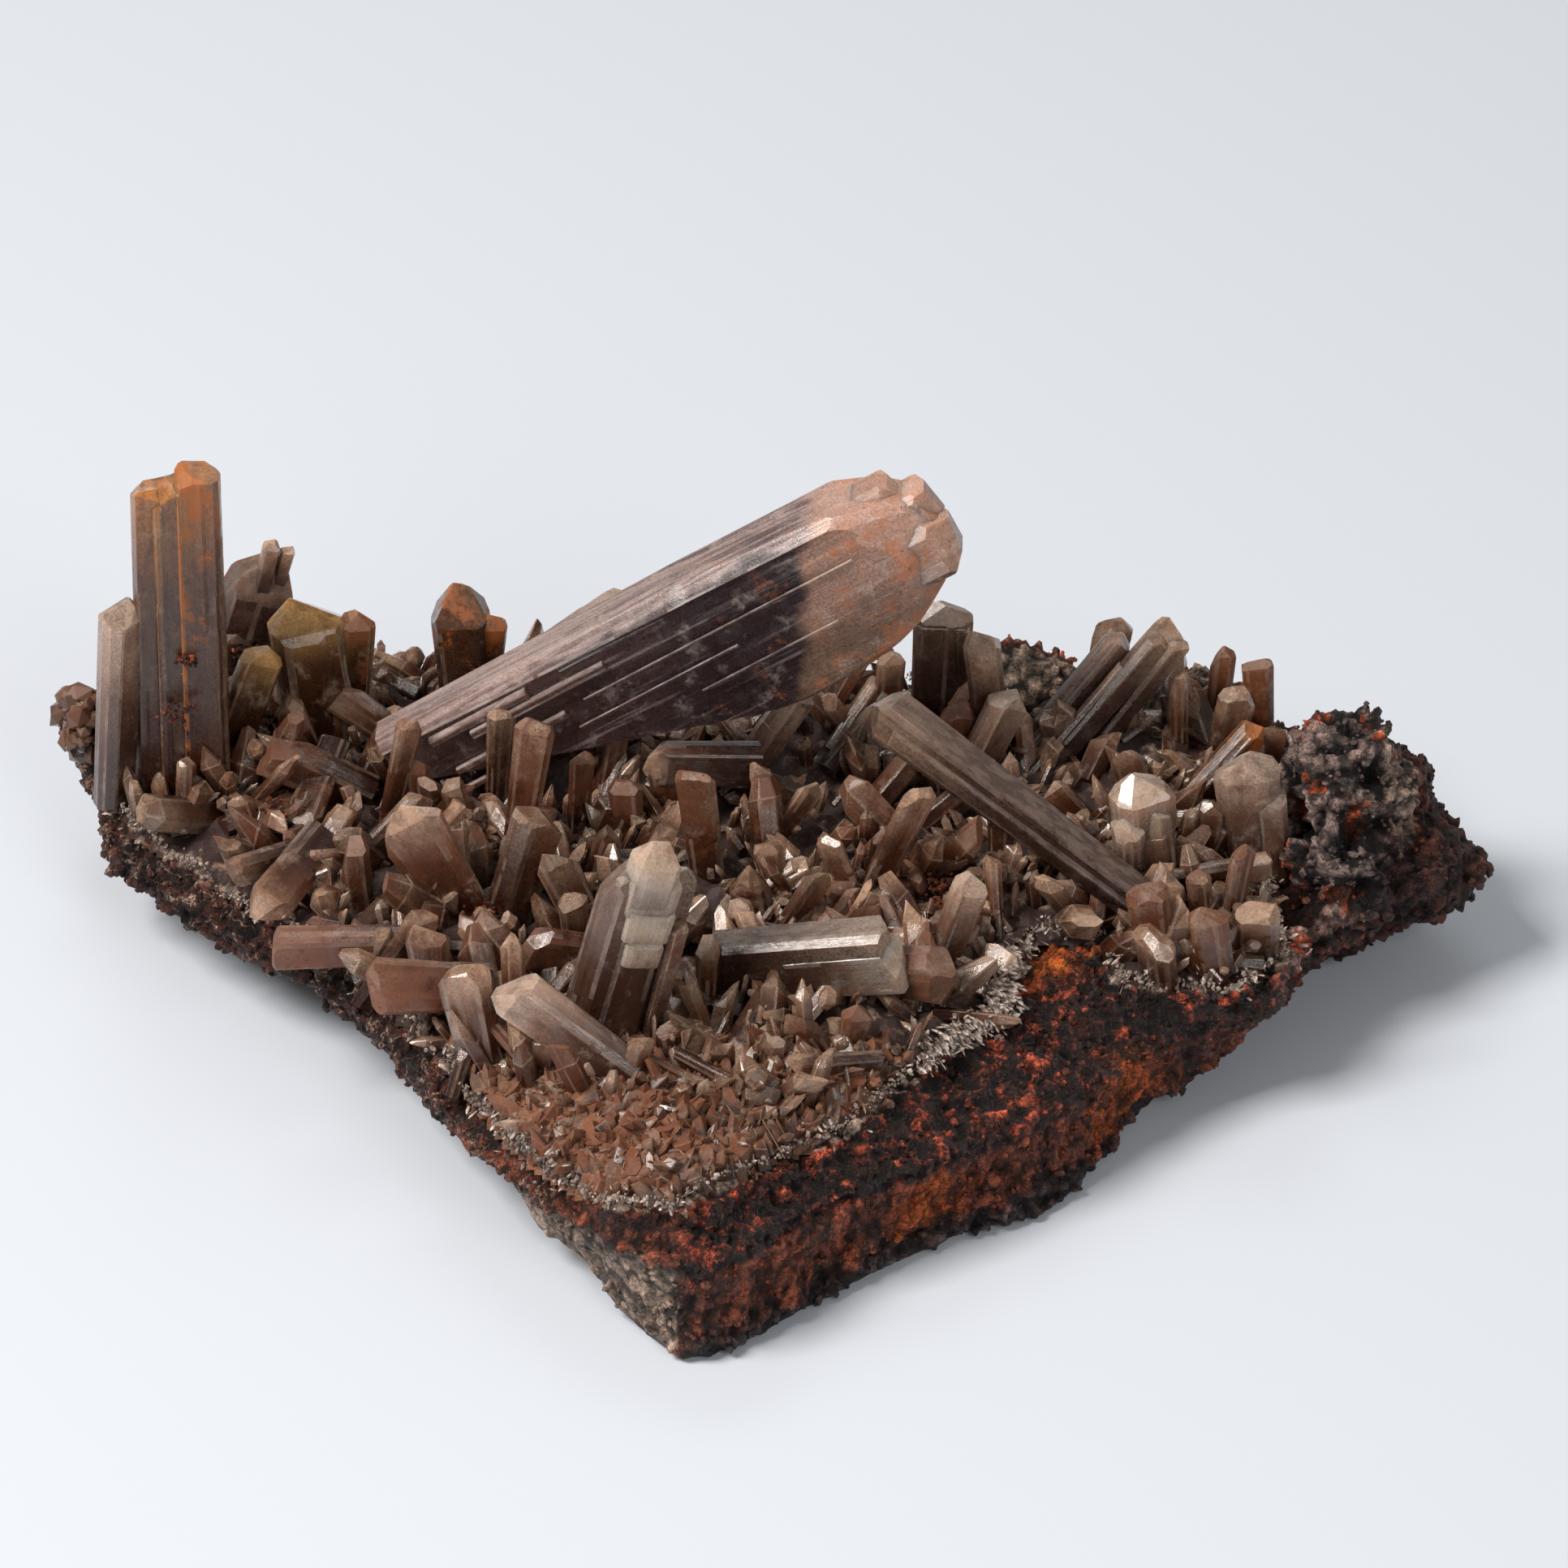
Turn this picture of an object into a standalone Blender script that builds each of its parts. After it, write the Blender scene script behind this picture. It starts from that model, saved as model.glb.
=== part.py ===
"""A hemimorphite specimen: a wedge of limonite with a carpet of crystals and some large single ones.

The slab lies on its flat broken underside with its front corner towards -Y. A tall crystal
stands at the left end, and the longest one leans across the middle from left to right.
Lengths below are millimetres until a mesh is made; MM turns them into metres.
"""

import math
import random
from typing import NamedTuple

import bmesh
import bpy
from mathutils import Matrix, Vector, noise

MM = 0.001
GAP = 0.3  # clearance kept between neighbouring pieces
ORIGIN = Vector((-0.33, 5.34, 0.0))  # the point under the middle of the specimen's box

# Driving heights
SEAT = 9.6  # level top of the limonite, under the crust
CRUST_FOOT = SEAT + GAP
CRUST_EDGE = 10.9  # top of the crust at its rim
CRUST_TOP = 12.2  # top of the crust further in
CRUST_SLOPE_WIDTH = 6.0  # how far in from the rim the crust reaches that height
SLAB_MIDDLE = Vector((0.0, 9.0))
UNDERCUT = 2.4  # how far the underside runs in for each millimetre that it rises


class Station(NamedTuple):
    """One place round the slab: the foot of its wall, the ledge half-way up and the upper rim."""

    low: tuple
    ledge: tuple
    rim: tuple


# Round the slab from its front corner, by the right end, the back and the left end.
STATIONS = (
    Station((-4.0, -30.0, 0.8), (-4.5, -30.0, 8.0), (-6.0, -26.0)),
    Station((3.5, -24.0, 0.8), (3.0, -23.5, 8.2), (1.0, -20.5)),
    Station((13.0, -17.0, 0.8), (12.0, -18.0, 8.2), (8.5, -13.5)),
    Station((20.0, -13.5, 0.8), (19.0, -12.5, 8.2), (12.5, -8.5)),
    Station((24.5, -5.5, 0.8), (25.0, -7.0, 8.0), (16.5, -4.0)),
    Station((28.0, -3.0, 1.5), (29.0, -4.0, 8.0), (24.0, -1.5)),
    Station((33.0, -1.0, 5.0), (34.0, -2.0, 8.3), (32.0, -2.0)),
    Station((37.0, 4.0, 6.0), (37.5, 3.5, 8.3), (36.5, 2.5)),
    Station((43.0, 11.6, 6.2), (43.4, 10.6, 8.4), (41.5, 10.4)),
    Station((48.4, 13.6, 5.6), (49.4, 13.0, 8.4), (47.6, 14.2)),
    Station((49.4, 16.5, 5.4), (50.4, 16.5, 8.4), (48.6, 16.5)),
    Station((46.0, 21.0, 4.0), (48.0, 21.0, 8.6), (46.0, 20.5)),
    Station((42.0, 27.0, 2.0), (45.0, 26.5, 8.0), (43.5, 25.0)),
    Station((34.0, 32.0, 1.0), (37.0, 32.5, 8.0), (36.0, 31.0)),
    Station((24.0, 34.5, 0.8), (26.0, 36.5, 8.0), (25.0, 35.0)),
    Station((10.0, 35.0, 0.8), (12.0, 38.0, 7.5), (12.0, 36.0)),
    Station((-6.0, 35.0, 0.8), (-6.0, 37.5, 8.0), (-6.0, 36.0)),
    Station((-20.0, 35.5, 0.8), (-20.0, 38.0, 7.5), (-20.0, 37.0)),
    Station((-33.0, 36.5, 1.5), (-34.0, 40.5, 8.0), (-33.0, 39.5)),
    Station((-43.0, 36.0, 4.0), (-44.0, 39.0, 8.0), (-43.0, 37.5)),
    Station((-50.0, 32.0, 6.0), (-51.0, 33.0, 8.4), (-50.0, 32.0)),
    Station((-47.5, 24.0, 6.3), (-48.0, 24.0, 8.0), (-46.8, 24.0)),
    Station((-46.5, 17.3, 6.3), (-46.6, 17.2, 8.0), (-45.0, 18.0)),
    Station((-39.0, 9.0, 6.4), (-39.2, 8.8, 8.0), (-37.4, 10.2)),
    Station((-31.6, 3.0, 6.4), (-32.0, 2.4, 8.0), (-30.2, 3.8)),
    Station((-25.5, -5.0, 5.5), (-26.2, -5.6, 8.0), (-24.8, -4.8)),
    Station((-21.2, -11.6, 4.5), (-22.2, -12.4, 8.0), (-20.6, -11.8)),
    Station((-17.0, -16.5, 3.5), (-19.2, -18.0, 7.8), (-17.8, -17.4)),
    Station((-12.6, -21.0, 1.5), (-15.8, -22.2, 7.8), (-14.6, -21.6)),
    Station((-8.5, -27.5, 0.8), (-10.5, -26.5, 8.0), (-11.0, -25.5)),
)
STEPS_BETWEEN = 3  # points round each ring for each station
WALL_ROUGHNESS = 0.7
WALL_GRAIN = 0.28  # noise waves per millimetre
UPRIGHT_SHARE = 0.4  # how much of the roughness moves a point up or down
NOISE_OFFSETS = (Vector((9.3, -1.5, -7.9)), Vector((0.0, 4.1, 2.7)), Vector((6.3, 11.1, -3.8)))


class Lump(NamedTuple):
    """A knob of limonite that stands above the slab's top."""

    middle: tuple
    radii: tuple


LUMPS = (
    Lump((40.5, 17.0, 11.5), (5.0, 6.5, 8.2)),
    Lump((39.5, 10.5, 10.0), (4.0, 4.5, 5.0)),
    Lump((45.0, 15.0, 8.5), (4.5, 4.5, 3.5)),
    Lump((44.6, 21.5, 9.5), (2.6, 3.2, 4.6)),
    Lump((18.5, 34.0, 10.0), (4.2, 2.8, 4.4)),
    Lump((20.5, 0.5, 8.0), (3.6, 3.4, 3.4)),
    Lump((30.5, 32.0, 10.0), (4.5, 2.6, 3.6)),
    Lump((-38.0, 37.0, 10.0), (3.6, 2.4, 4.2)),
)
LUMP_ROUGHNESS = 0.16  # share of its radius

# The crust's rim on the slab, from the front corner by the right. It leaves bare two hollows on the right.
CRUST_OUTLINE = (
    (-6.0, -25.4), (1.0, -20.0), (5.0, -17.4), (8.2, -13.2), (12.0, -8.2), (15.5, -4.2), (16.4, 0.0),
    (18.4, 4.6), (22.6, 4.4), (24.0, -0.4), (31.5, -1.5), (35.8, 2.6), (35.2, 9.0), (34.8, 13.5),
    (35.4, 19.5), (38.0, 25.5), (35.5, 30.5), (25.0, 34.5), (12.0, 35.5), (-6.0, 35.5), (-20.0, 36.5),
    (-33.0, 39.0), (-43.0, 37.0), (-49.6, 31.6), (-46.6, 24.0), (-45.2, 17.8), (-37.6, 9.8), (-30.4, 3.2),
    (-24.8, -5.0), (-20.6, -12.0), (-18.0, -17.6), (-14.8, -21.8), (-11.0, -25.0),
)
CRUST_CELL = 5.4  # spacing of the crust's surface points
CRUST_RAGGED = 0.5  # how far its rim wanders


class Tip(NamedTuple):
    """How a prism ends: the share of its width that the end edge keeps, and the end's height in widths."""

    edge: float
    height: float
    slant: float = 0.0


# Quarter of a prism's section, as shares of its half width and half thickness
SECTIONS = {6: ((1.0, 0.0), (0.52, 1.0)), 8: ((1.0, 0.42), (0.58, 1.0))}

CHISEL = Tip(0.55, 0.55)
POINT = Tip(0.12, 0.75)
BLUNT = Tip(0.8, 0.18)
SLANT = Tip(0.45, 0.6, 0.45)


class Prism(NamedTuple):
    """A flat-sided prism that leaves the crust at foot and points along heading and rise, in degrees."""

    foot: tuple
    heading: float
    rise: float
    length: float
    width: float
    flat: float = 0.8  # thickness as a share of the width
    roll: float = 0.0
    tip: Tip = CHISEL
    waist: float = 0.88  # share of the width at the foot
    root: float = 1.4  # length inside the crust


# Large crystals, each a piece of its own. A bundle has more than one prism.
LARGE_CRYSTALS = {
    "great_crystal": (
        Prism((-22.6, 21.0, 14.4), -2, 29, 37.5, 12.2, 0.7, 0, Tip(0.62, 0.3), 0.26, 1.5),
        Prism((-21.0, 21.6, 15.2), -2, 36, 36.5, 5.2, 1.3, 0, Tip(0.8, 0.5, -0.2), 0.4, 1.0),
        Prism((-19.6, 20.4, 14.2), -1, 21, 30.0, 4.8, 1.4, 0, SLANT, 0.45, 1.0),
        Prism((1.5, 19.6, 29.2), -2, 24, 11.8, 12.0, 0.7, 0, Tip(0.7, 0.22, -0.12), 0.85, 0.0),
    ),
    "rear_companion_crystal": (
        Prism((-22.0, 28.6, 12.2), -3, 39, 17.0, 3.4, 0.75, 0, SLANT, 0.8),
    ),
    "pillar_crystal": (
        Prism((-41.8, 22.0, 12.0), 10, 88, 24.4, 4.8, 0.9, 40, BLUNT),
        Prism((-44.0, 23.4, 12.0), 30, 86, 21.6, 3.2, 1.0, 20, BLUNT),
        Prism((-40.6, 21.4, 12.0), 60, 89, 25.2, 3.4, 1.0, 70, SLANT),
    ),
    "pillar_companion_crystal": (
        Prism((-46.7, 21.2, 12.0), 20, 86, 14.6, 2.6, 0.85, 30),
    ),
    "leaning_crystal": (
        Prism((-38.6, 33.2, 12.0), 10, 73, 12.4, 4.6, 0.7, 0, POINT, 0.95),
    ),
    "gemmy_crystal": (
        Prism((-32.2, 28.6, 12.2), 170, 87, 10.8, 5.4, 0.75, 10, Tip(0.75, 0.3)),
    ),
    "slender_crystal": (
        Prism((-38.4, 24.6, 12.0), 12, 70, 9.4, 2.8, 0.6, 0, SLANT, 1.1),
    ),
    "rusty_crystal": (
        Prism((-21.8, 32.2, 12.0), 180, 87, 8.8, 4.2, 0.8, 0, POINT),
    ),
    "white_capped_crystal": (
        Prism((-11.4, -8.6, 12.0), 22, 74, 15.6, 4.6, 0.85, -20, POINT, 1.05),
        Prism((-9.6, -7.6, 12.0), 25, 75, 12.4, 3.6, 1.0, 10, SLANT),
    ),
    "crossing_crystal": (
        Prism((24.0, 6.8, 12.8), 147, 21, 22.4, 3.4, 0.85, 20, SLANT, 0.75),
    ),
    "blade_crystal": (
        Prism((12.0, 28.6, 12.2), 0, 88, 10.2, 4.4, 0.6, 0),
    ),
    "slim_crystal": (
        Prism((15.8, 26.0, 12.0), 180, 84, 9.6, 2.8, 0.85, 0, POINT),
    ),
    "striated_bundle_crystal": (
        Prism((18.8, 25.0, 12.2), 25, 46, 10.6, 2.4, 0.9, 15, SLANT),
        Prism((20.6, 23.6, 12.2), 24, 45, 11.0, 2.4, 0.9, 50),
        Prism((22.0, 25.2, 12.4), 22, 47, 11.2, 2.8, 0.9, 80),
    ),
    "oblique_crystal": (
        Prism((14.4, 21.6, 12.0), 35, 58, 7.2, 3.0, 0.7, 0, SLANT),
    ),
    "orange_crystal": (
        Prism((30.2, 19.0, 12.0), 25, 42, 7.0, 2.2, 0.8, 10),
    ),
    "egg_crystal": (
        Prism((26.2, 10.6, 12.4), 200, 84, 8.0, 4.8, 0.75, -20, Tip(0.6, 0.35), 0.7),
    ),
    "broad_pale_crystal": (
        Prism((34.0, 13.4, 11.6), 160, 84, 8.0, 4.6, 0.7, 20),
    ),
    "ledge_crystal": (
        Prism((-2.0, -3.0, 13.4), -10, 12, 10.8, 4.6, 0.9, 0, Tip(0.85, 0.15), 0.9, 0.6),
    ),
    "upright_pale_crystal": (
        Prism((12.2, 0.8, 11.8), 10, 72, 6.8, 2.6, 0.8, 0, POINT),
    ),
    "front_left_crystal": (
        Prism((-10.8, -13.6, 13.0), 162, 32, 9.2, 3.2, 0.85, 30, SLANT, 0.85, 1.0),
    ),
    "bullet_crystal": (
        Prism((-2.6, 19.0, 14.4), -170, 8, 7.0, 2.8, 0.85, 10, POINT, 1.1, 0.8),
    ),
    "knob_ended_crystal": (
        Prism((-1.4, 22.6, 11.8), 16, 56, 6.8, 2.2, 0.85, 20, BLUNT, 1.0),
    ),
}

# Middling crystals that have grown together with the crust, from the left end to the right.
CRUST_PRISMS = (
    Prism((-49.6, 28.6, 10.4), 170, 80, 4.6, 2.6, 0.9, 0, BLUNT),
    Prism((-48.6, 26.2, 10.4), 180, 60, 3.8, 2.4, 0.9, 40, BLUNT),
    Prism((-41.2, 18.4, 11.4), 80, 72, 4.2, 1.8, 0.8, 0),
    Prism((-31.0, 20.0, 12.4), 180, 30, 6.4, 3.4, 0.8, 0, SLANT),
    Prism((-31.6, 19.4, 13.2), 250, -22, 6.4, 2.6, 0.6, 90, POINT),
    Prism((-32.4, 10.0, 12.4), 242, -8, 6.2, 3.6, 0.6, 60),
    Prism((-34.0, 11.0, 12.0), 215, 5, 4.0, 2.4, 0.7, 0, BLUNT),
    Prism((-28.6, 8.0, 12.0), 180, 86, 4.4, 1.9, 0.9, 0, POINT),
    Prism((-29.2, 11.2, 12.0), 205, 8, 3.2, 1.7, 0.8, 0, BLUNT),
    Prism((-28.0, 11.6, 12.0), 40, 27, 6.2, 2.0, 0.8, 0),
    Prism((-26.6, 25.4, 12.4), 168, 34, 6.4, 2.6, 0.7, 20, SLANT),
    Prism((-26.6, 16.8, 12.0), 35, 75, 7.2, 1.9, 0.8, 0),
    Prism((-24.6, 17.8, 12.0), 180, 85, 4.6, 2.2, 0.9, 0, POINT),
    Prism((-36.8, 16.2, 12.0), 180, 74, 2.6, 1.6),
    Prism((-21.4, 15.4, 12.0), 170, 82, 4.2, 2.3, 0.9, 0, POINT),
    Prism((-21.6, 6.0, 12.0), 152, 54, 7.8, 5.6, 0.5, 10, Tip(0.8, 0.3)),
    Prism((-17.8, 5.2, 12.0), 24, 72, 8.0, 3.2, 0.8, 0, BLUNT),
    Prism((-17.6, 12.2, 12.0), 35, 80, 10.6, 2.6, 0.8, -35),
    Prism((-19.2, 17.8, 12.0), 20, 86, 6.8, 2.0, 0.9, 0, BLUNT),
    Prism((-13.4, 15.8, 12.0), 10, 86, 6.2, 1.9, 0.9, 0),
    Prism((-11.4, 19.6, 12.0), 50, 74, 5.6, 2.0, 0.9, 0, POINT),
    Prism((-7.0, 17.4, 12.0), 180, 82, 4.2, 2.4, 0.8, 0, SLANT),
    Prism((-4.4, 10.2, 12.0), 175, 84, 7.0, 2.5, 0.8, 0, BLUNT),
    Prism((-9.8, 14.6, 12.0), 170, 85, 4.2, 2.1, 0.8, 0, BLUNT),
    Prism((-12.0, 9.6, 12.0), 35, 68, 5.2, 2.7, 0.7, 0, POINT),
    Prism((-13.2, 0.8, 12.2), 180, 86, 4.4, 1.8, 0.9, 0, BLUNT),
    Prism((-13.6, -1.4, 13.0), 190, 14, 5.6, 3.0, 0.6, 0, SLANT),
    Prism((-12.6, 2.8, 12.2), 155, 64, 6.0, 3.0, 0.5, 20),
    Prism((-23.0, -3.2, 12.4), 180, 86, 5.4, 2.9, 0.8, 0, POINT),
    Prism((-21.6, -6.2, 13.6), 195, 12, 7.0, 3.8, 0.4, 60),
    Prism((-19.6, -10.6, 12.0), 130, 74, 6.0, 3.3, 0.6, 40, BLUNT),
    Prism((-17.8, -10.4, 13.0), 312, -20, 4.8, 2.5, 0.6, 60),
    Prism((-22.2, -13.8, 11.8), 55, 58, 5.0, 2.2, 0.7, 0, SLANT),
    Prism((-26.6, 0.2, 12.4), 180, -2, 7.6, 2.8, 0.8, 0, BLUNT),
    Prism((-29.0, -3.4, 11.8), 33, 46, 7.8, 2.5, 0.7, 0, SLANT),
    Prism((-32.6, 24.2, 12.0), 150, 60, 5.0, 2.2),
    Prism((-9.4, -14.6, 11.8), 42, 68, 4.4, 1.9),
    Prism((-7.8, -13.4, 12.4), 333, -12, 5.0, 2.2, 0.7, 20, BLUNT),
    Prism((-3.6, -14.4, 12.2), 332, -14, 4.8, 2.0, 0.7, 20, BLUNT),
    Prism((-6.4, -10.0, 12.0), 180, 80, 3.0, 2.3, 0.8, 0, POINT),
    Prism((-4.2, -4.6, 12.0), 80, 78, 5.8, 3.0, 0.6, 0, POINT),
    Prism((-1.8, 1.2, 12.2), 175, 80, 4.2, 2.0, 0.9, 0, POINT),
    Prism((-1.2, 5.6, 12.2), 175, 80, 3.8, 2.5, 0.9, 0, POINT),
    Prism((0.4, 8.6, 12.0), 180, 78, 3.8, 1.9, 0.9, 0, POINT),
    Prism((5.6, 6.8, 12.0), 155, 66, 6.2, 1.7, 0.6, 0, SLANT),
    Prism((1.0, 2.8, 12.0), 30, 48, 6.4, 3.4, 0.5, 20),
    Prism((6.4, 2.0, 12.2), 0, 84, 3.8, 2.4, 0.9, 0, POINT),
    Prism((7.2, 7.6, 12.0), 30, 60, 8.0, 2.5, 0.7, 0, SLANT),
    Prism((8.2, -3.4, 12.8), 333, 14, 4.8, 3.4, 0.9, 0, BLUNT),
    Prism((15.6, 5.6, 11.8), 100, 62, 4.2, 1.8, 0.8, 0),
    Prism((2.8, -10.4, 12.0), 155, 54, 4.4, 2.8, 0.7, 0, POINT),
    Prism((5.6, -9.8, 12.0), 20, 78, 3.2, 2.3, 0.9, 0, POINT),
    Prism((-0.6, -16.2, 11.6), 20, 76, 3.0, 2.3, 0.8, 0, POINT),
    Prism((4.6, -12.8, 12.0), 193, 4, 4.6, 2.0, 0.8, 0),
    Prism((1.4, 15.4, 12.0), 30, 50, 4.0, 1.8, 0.8, 0),
    Prism((8.4, 29.2, 12.4), 20, 86, 4.6, 1.8, 0.9, 0, POINT),
    Prism((13.0, 24.0, 12.0), 20, 84, 4.2, 2.4, 0.9, 0, BLUNT),
    Prism((23.4, 30.4, 12.0), 37, 76, 6.8, 2.7, 0.9, 0, BLUNT),
    Prism((29.0, 30.4, 12.0), 80, 78, 5.4, 2.4, 0.9, 0, POINT),
    Prism((32.0, 29.4, 12.0), 0, 86, 5.4, 1.6, 0.9, 0, POINT),
    Prism((35.0, 28.8, 11.8), 180, 86, 5.8, 2.4, 0.9, 0),
    Prism((29.0, 26.0, 12.0), 100, 78, 6.4, 2.5, 0.8, 0),
    Prism((32.4, 25.0, 12.0), 10, 80, 4.4, 2.8, 0.8, 0, BLUNT),
    Prism((35.2, 22.4, 12.0), 0, 84, 5.2, 2.3, 0.9, 0, POINT),
    Prism((25.8, 18.6, 12.0), 170, 78, 5.0, 2.8, 0.7, 0, SLANT),
    Prism((30.6, 13.2, 12.0), 0, 84, 4.0, 2.0, 0.9, 0),
    Prism((29.8, 8.4, 12.2), 8, 6, 5.0, 1.9, 0.7, 0, BLUNT),
    Prism((32.0, 5.6, 11.8), 60, 70, 4.2, 2.8, 0.6, 0, BLUNT),
    Prism((29.8, 5.0, 11.8), 170, 84, 4.0, 1.6, 0.9, 0),
    Prism((26.4, 2.6, 11.4), 180, 82, 4.2, 2.6, 0.8, 0, BLUNT),
    Prism((33.6, 2.2, 11.4), 260, 66, 4.2, 3.2, 0.7, 90, BLUNT),
    Prism((30.6, 0.2, 11.0), 180, 80, 4.8, 2.5, 0.8, 0),
    Prism((26.6, 0.0, 11.0), 250, 70, 3.6, 3.0, 0.8, 60, BLUNT),
    Prism((22.2, 12.4, 12.0), 156, 45, 3.8, 2.0, 0.8, 0, POINT),
    Prism((21.4, 16.6, 12.0), 180, 50, 3.8, 2.0),
)


class Scatter(NamedTuple):
    """Crystals placed by rule over a stretch of the crust."""

    seed: int
    count: int
    xs: tuple
    ys: tuple
    length: tuple
    width: tuple


# Small crystals everywhere but at the fine-grained front, then thicker ones along the back.
SCATTERS = (
    Scatter(41, 28, (-50.0, 40.0), (-15.0, 38.0), (2.6, 5.0), (1.3, 2.2)),
    Scatter(7, 22, (-44.0, 22.0), (24.5, 35.5), (3.6, 6.2), (1.9, 3.2)),
)
SCATTER_TRIES = 4000
SCATTER_RISE = (38.0, 82.0)
SCATTER_RIM = 1.6  # distance kept from the crust's rim
SCATTER_SPACING = 2.6


class Finish(NamedTuple):
    """A piece's plain colour and gloss."""

    colour: tuple
    roughness: float
    transmission: float


LIMONITE = Finish((0.10, 0.045, 0.025), 0.85, 0.0)
CRUST = Finish((0.30, 0.25, 0.21), 0.45, 0.0)
SMOKY = Finish((0.42, 0.37, 0.33), 0.25, 0.4)
ROSY = Finish((0.62, 0.46, 0.38), 0.3, 0.3)
AMBER = Finish((0.45, 0.27, 0.13), 0.3, 0.3)
CRYSTAL_FINISHES = {
    "great_crystal": ROSY,
    "pillar_crystal": AMBER,
    "rusty_crystal": AMBER,
    "orange_crystal": AMBER,
}
HEMIMORPHITE_IOR = 1.61


def clear_scene():
    """Empty the scene of whatever it opened with."""
    for obj in list(bpy.data.objects):
        bpy.data.objects.remove(obj, do_unlink=True)


def finish_material(name, finish):
    """A Principled material in the piece's colour."""
    material = bpy.data.materials.new(name)
    material.use_nodes = True
    shader = material.node_tree.nodes["Principled BSDF"]
    shader.inputs["Base Color"].default_value = (*finish.colour, 1.0)
    shader.inputs["Roughness"].default_value = finish.roughness
    shader.inputs["Metallic"].default_value = 0.0
    shader.inputs["Transmission Weight"].default_value = finish.transmission
    shader.inputs["IOR"].default_value = HEMIMORPHITE_IOR
    return material


def new_object(name, bm):
    """Turn a bmesh in millimetres into an object in metres, with the specimen's middle at the origin."""
    bmesh.ops.translate(bm, verts=bm.verts, vec=-ORIGIN)
    bmesh.ops.scale(bm, verts=bm.verts, vec=(MM, MM, MM))
    bmesh.ops.recalc_face_normals(bm, faces=bm.faces)
    mesh = bpy.data.meshes.new(name)
    bm.to_mesh(mesh)
    bm.free()
    obj = bpy.data.objects.new(name, mesh)
    bpy.context.scene.collection.objects.link(obj)
    return obj


def combine(target, other, operation):
    """Join other to target, cut it away or keep what both share, and drop other."""
    modifier = target.modifiers.new(operation.title(), "BOOLEAN")
    modifier.operation = operation
    modifier.solver = "EXACT"
    modifier.object = other
    graph = bpy.context.evaluated_depsgraph_get()
    mesh = bpy.data.meshes.new_from_object(target.evaluated_get(graph))
    target.modifiers.clear()
    target.data = mesh
    bpy.data.objects.remove(other, do_unlink=True)


def hull_mesh(points):
    """A closed convex body through the points that stand out."""
    bm = bmesh.new()
    for point in points:
        bm.verts.new(point)
    made = bmesh.ops.convex_hull(bm, input=bm.verts)
    inner = {item for item in made["geom_interior"] if isinstance(item, bmesh.types.BMVert)}
    inner |= {item for item in made["geom_unused"] if isinstance(item, bmesh.types.BMVert)}
    bmesh.ops.delete(bm, geom=list(inner), context="VERTS")
    bmesh.ops.dissolve_limit(bm, angle_limit=math.radians(1.0), verts=bm.verts, edges=bm.edges)
    return bm


def prism_matrix(prism):
    """Stands local +Z along the prism's heading and rise, with local X the way of its width."""
    turn = Matrix.Rotation(math.radians(prism.heading), 4, "Z")
    lean = Matrix.Rotation(math.radians(90.0 - prism.rise), 4, "Y")
    roll = Matrix.Rotation(math.radians(prism.roll), 4, "Z")
    return Matrix.Translation(Vector(prism.foot)) @ turn @ lean @ roll


def prism_ring(half_width, half_thickness, height, sides):
    """A flattened section at one height, with six or eight sides."""
    quarter = SECTIONS[sides]
    corners = {(x * sx, y * sy) for sx in (1, -1) for sy in (1, -1) for x, y in quarter}
    return [Vector((x * half_width, y * half_thickness, height)) for x, y in sorted(corners)]


def prism_points(prism, grow=0.0, sides=8):
    """The corners of the prism in place, each face moved out by grow."""
    half_width = prism.width / 2
    half_thickness = prism.flat * prism.width / 2
    end = prism.length + grow
    shoulder = end - prism.tip.height * prism.width
    waist, edge = prism.waist, prism.tip.edge
    points = prism_ring(half_width * waist + grow, half_thickness * waist + grow, -prism.root - grow, sides)
    points += prism_ring(half_width + grow, half_thickness + grow, shoulder, sides)
    drop = prism.tip.slant * prism.width
    bevels = (0.35, -0.35) if sides == 8 or edge > 0.7 else (0.0,)
    for side, lower in ((1.0, max(0.0, -drop)), (-1.0, max(0.0, drop))):
        for face in bevels:
            x = side * (half_width * edge + grow)
            points.append(Vector((x, face * (half_thickness * edge + grow), end - lower)))
    place = prism_matrix(prism)
    return [place @ point for point in points]


def prism_object(name, prism, grow=0.0, sides=8):
    """One prism as a closed object."""
    return new_object(name, hull_mesh(prism_points(prism, grow, sides)))


def axis_point(prism, share):
    """A point on the prism's axis, from 0 at its foot to 1 at its end."""
    return prism_matrix(prism) @ Vector((0.0, 0.0, share * prism.length))


def round_polyline(points, index, share):
    """A point on a smooth closed curve through the points, between one and the next."""
    count = len(points)
    before, here, after, beyond = (Vector(points[(index + k) % count]) for k in (-1, 0, 1, 2))
    square, cube = share * share, share * share * share
    return 0.5 * (
        2 * here
        + (after - before) * share
        + (2 * before - 5 * here + 4 * after - beyond) * square
        + (3 * here - before - 3 * after + beyond) * cube
    )


def roughened(point, amount, grain):
    """The point moved by smooth seeded noise, mostly sideways."""
    spot = point * grain
    shift = Vector([noise.noise(spot + offset) for offset in NOISE_OFFSETS])
    shift.z *= UPRIGHT_SHARE
    return point + amount * shift


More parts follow.
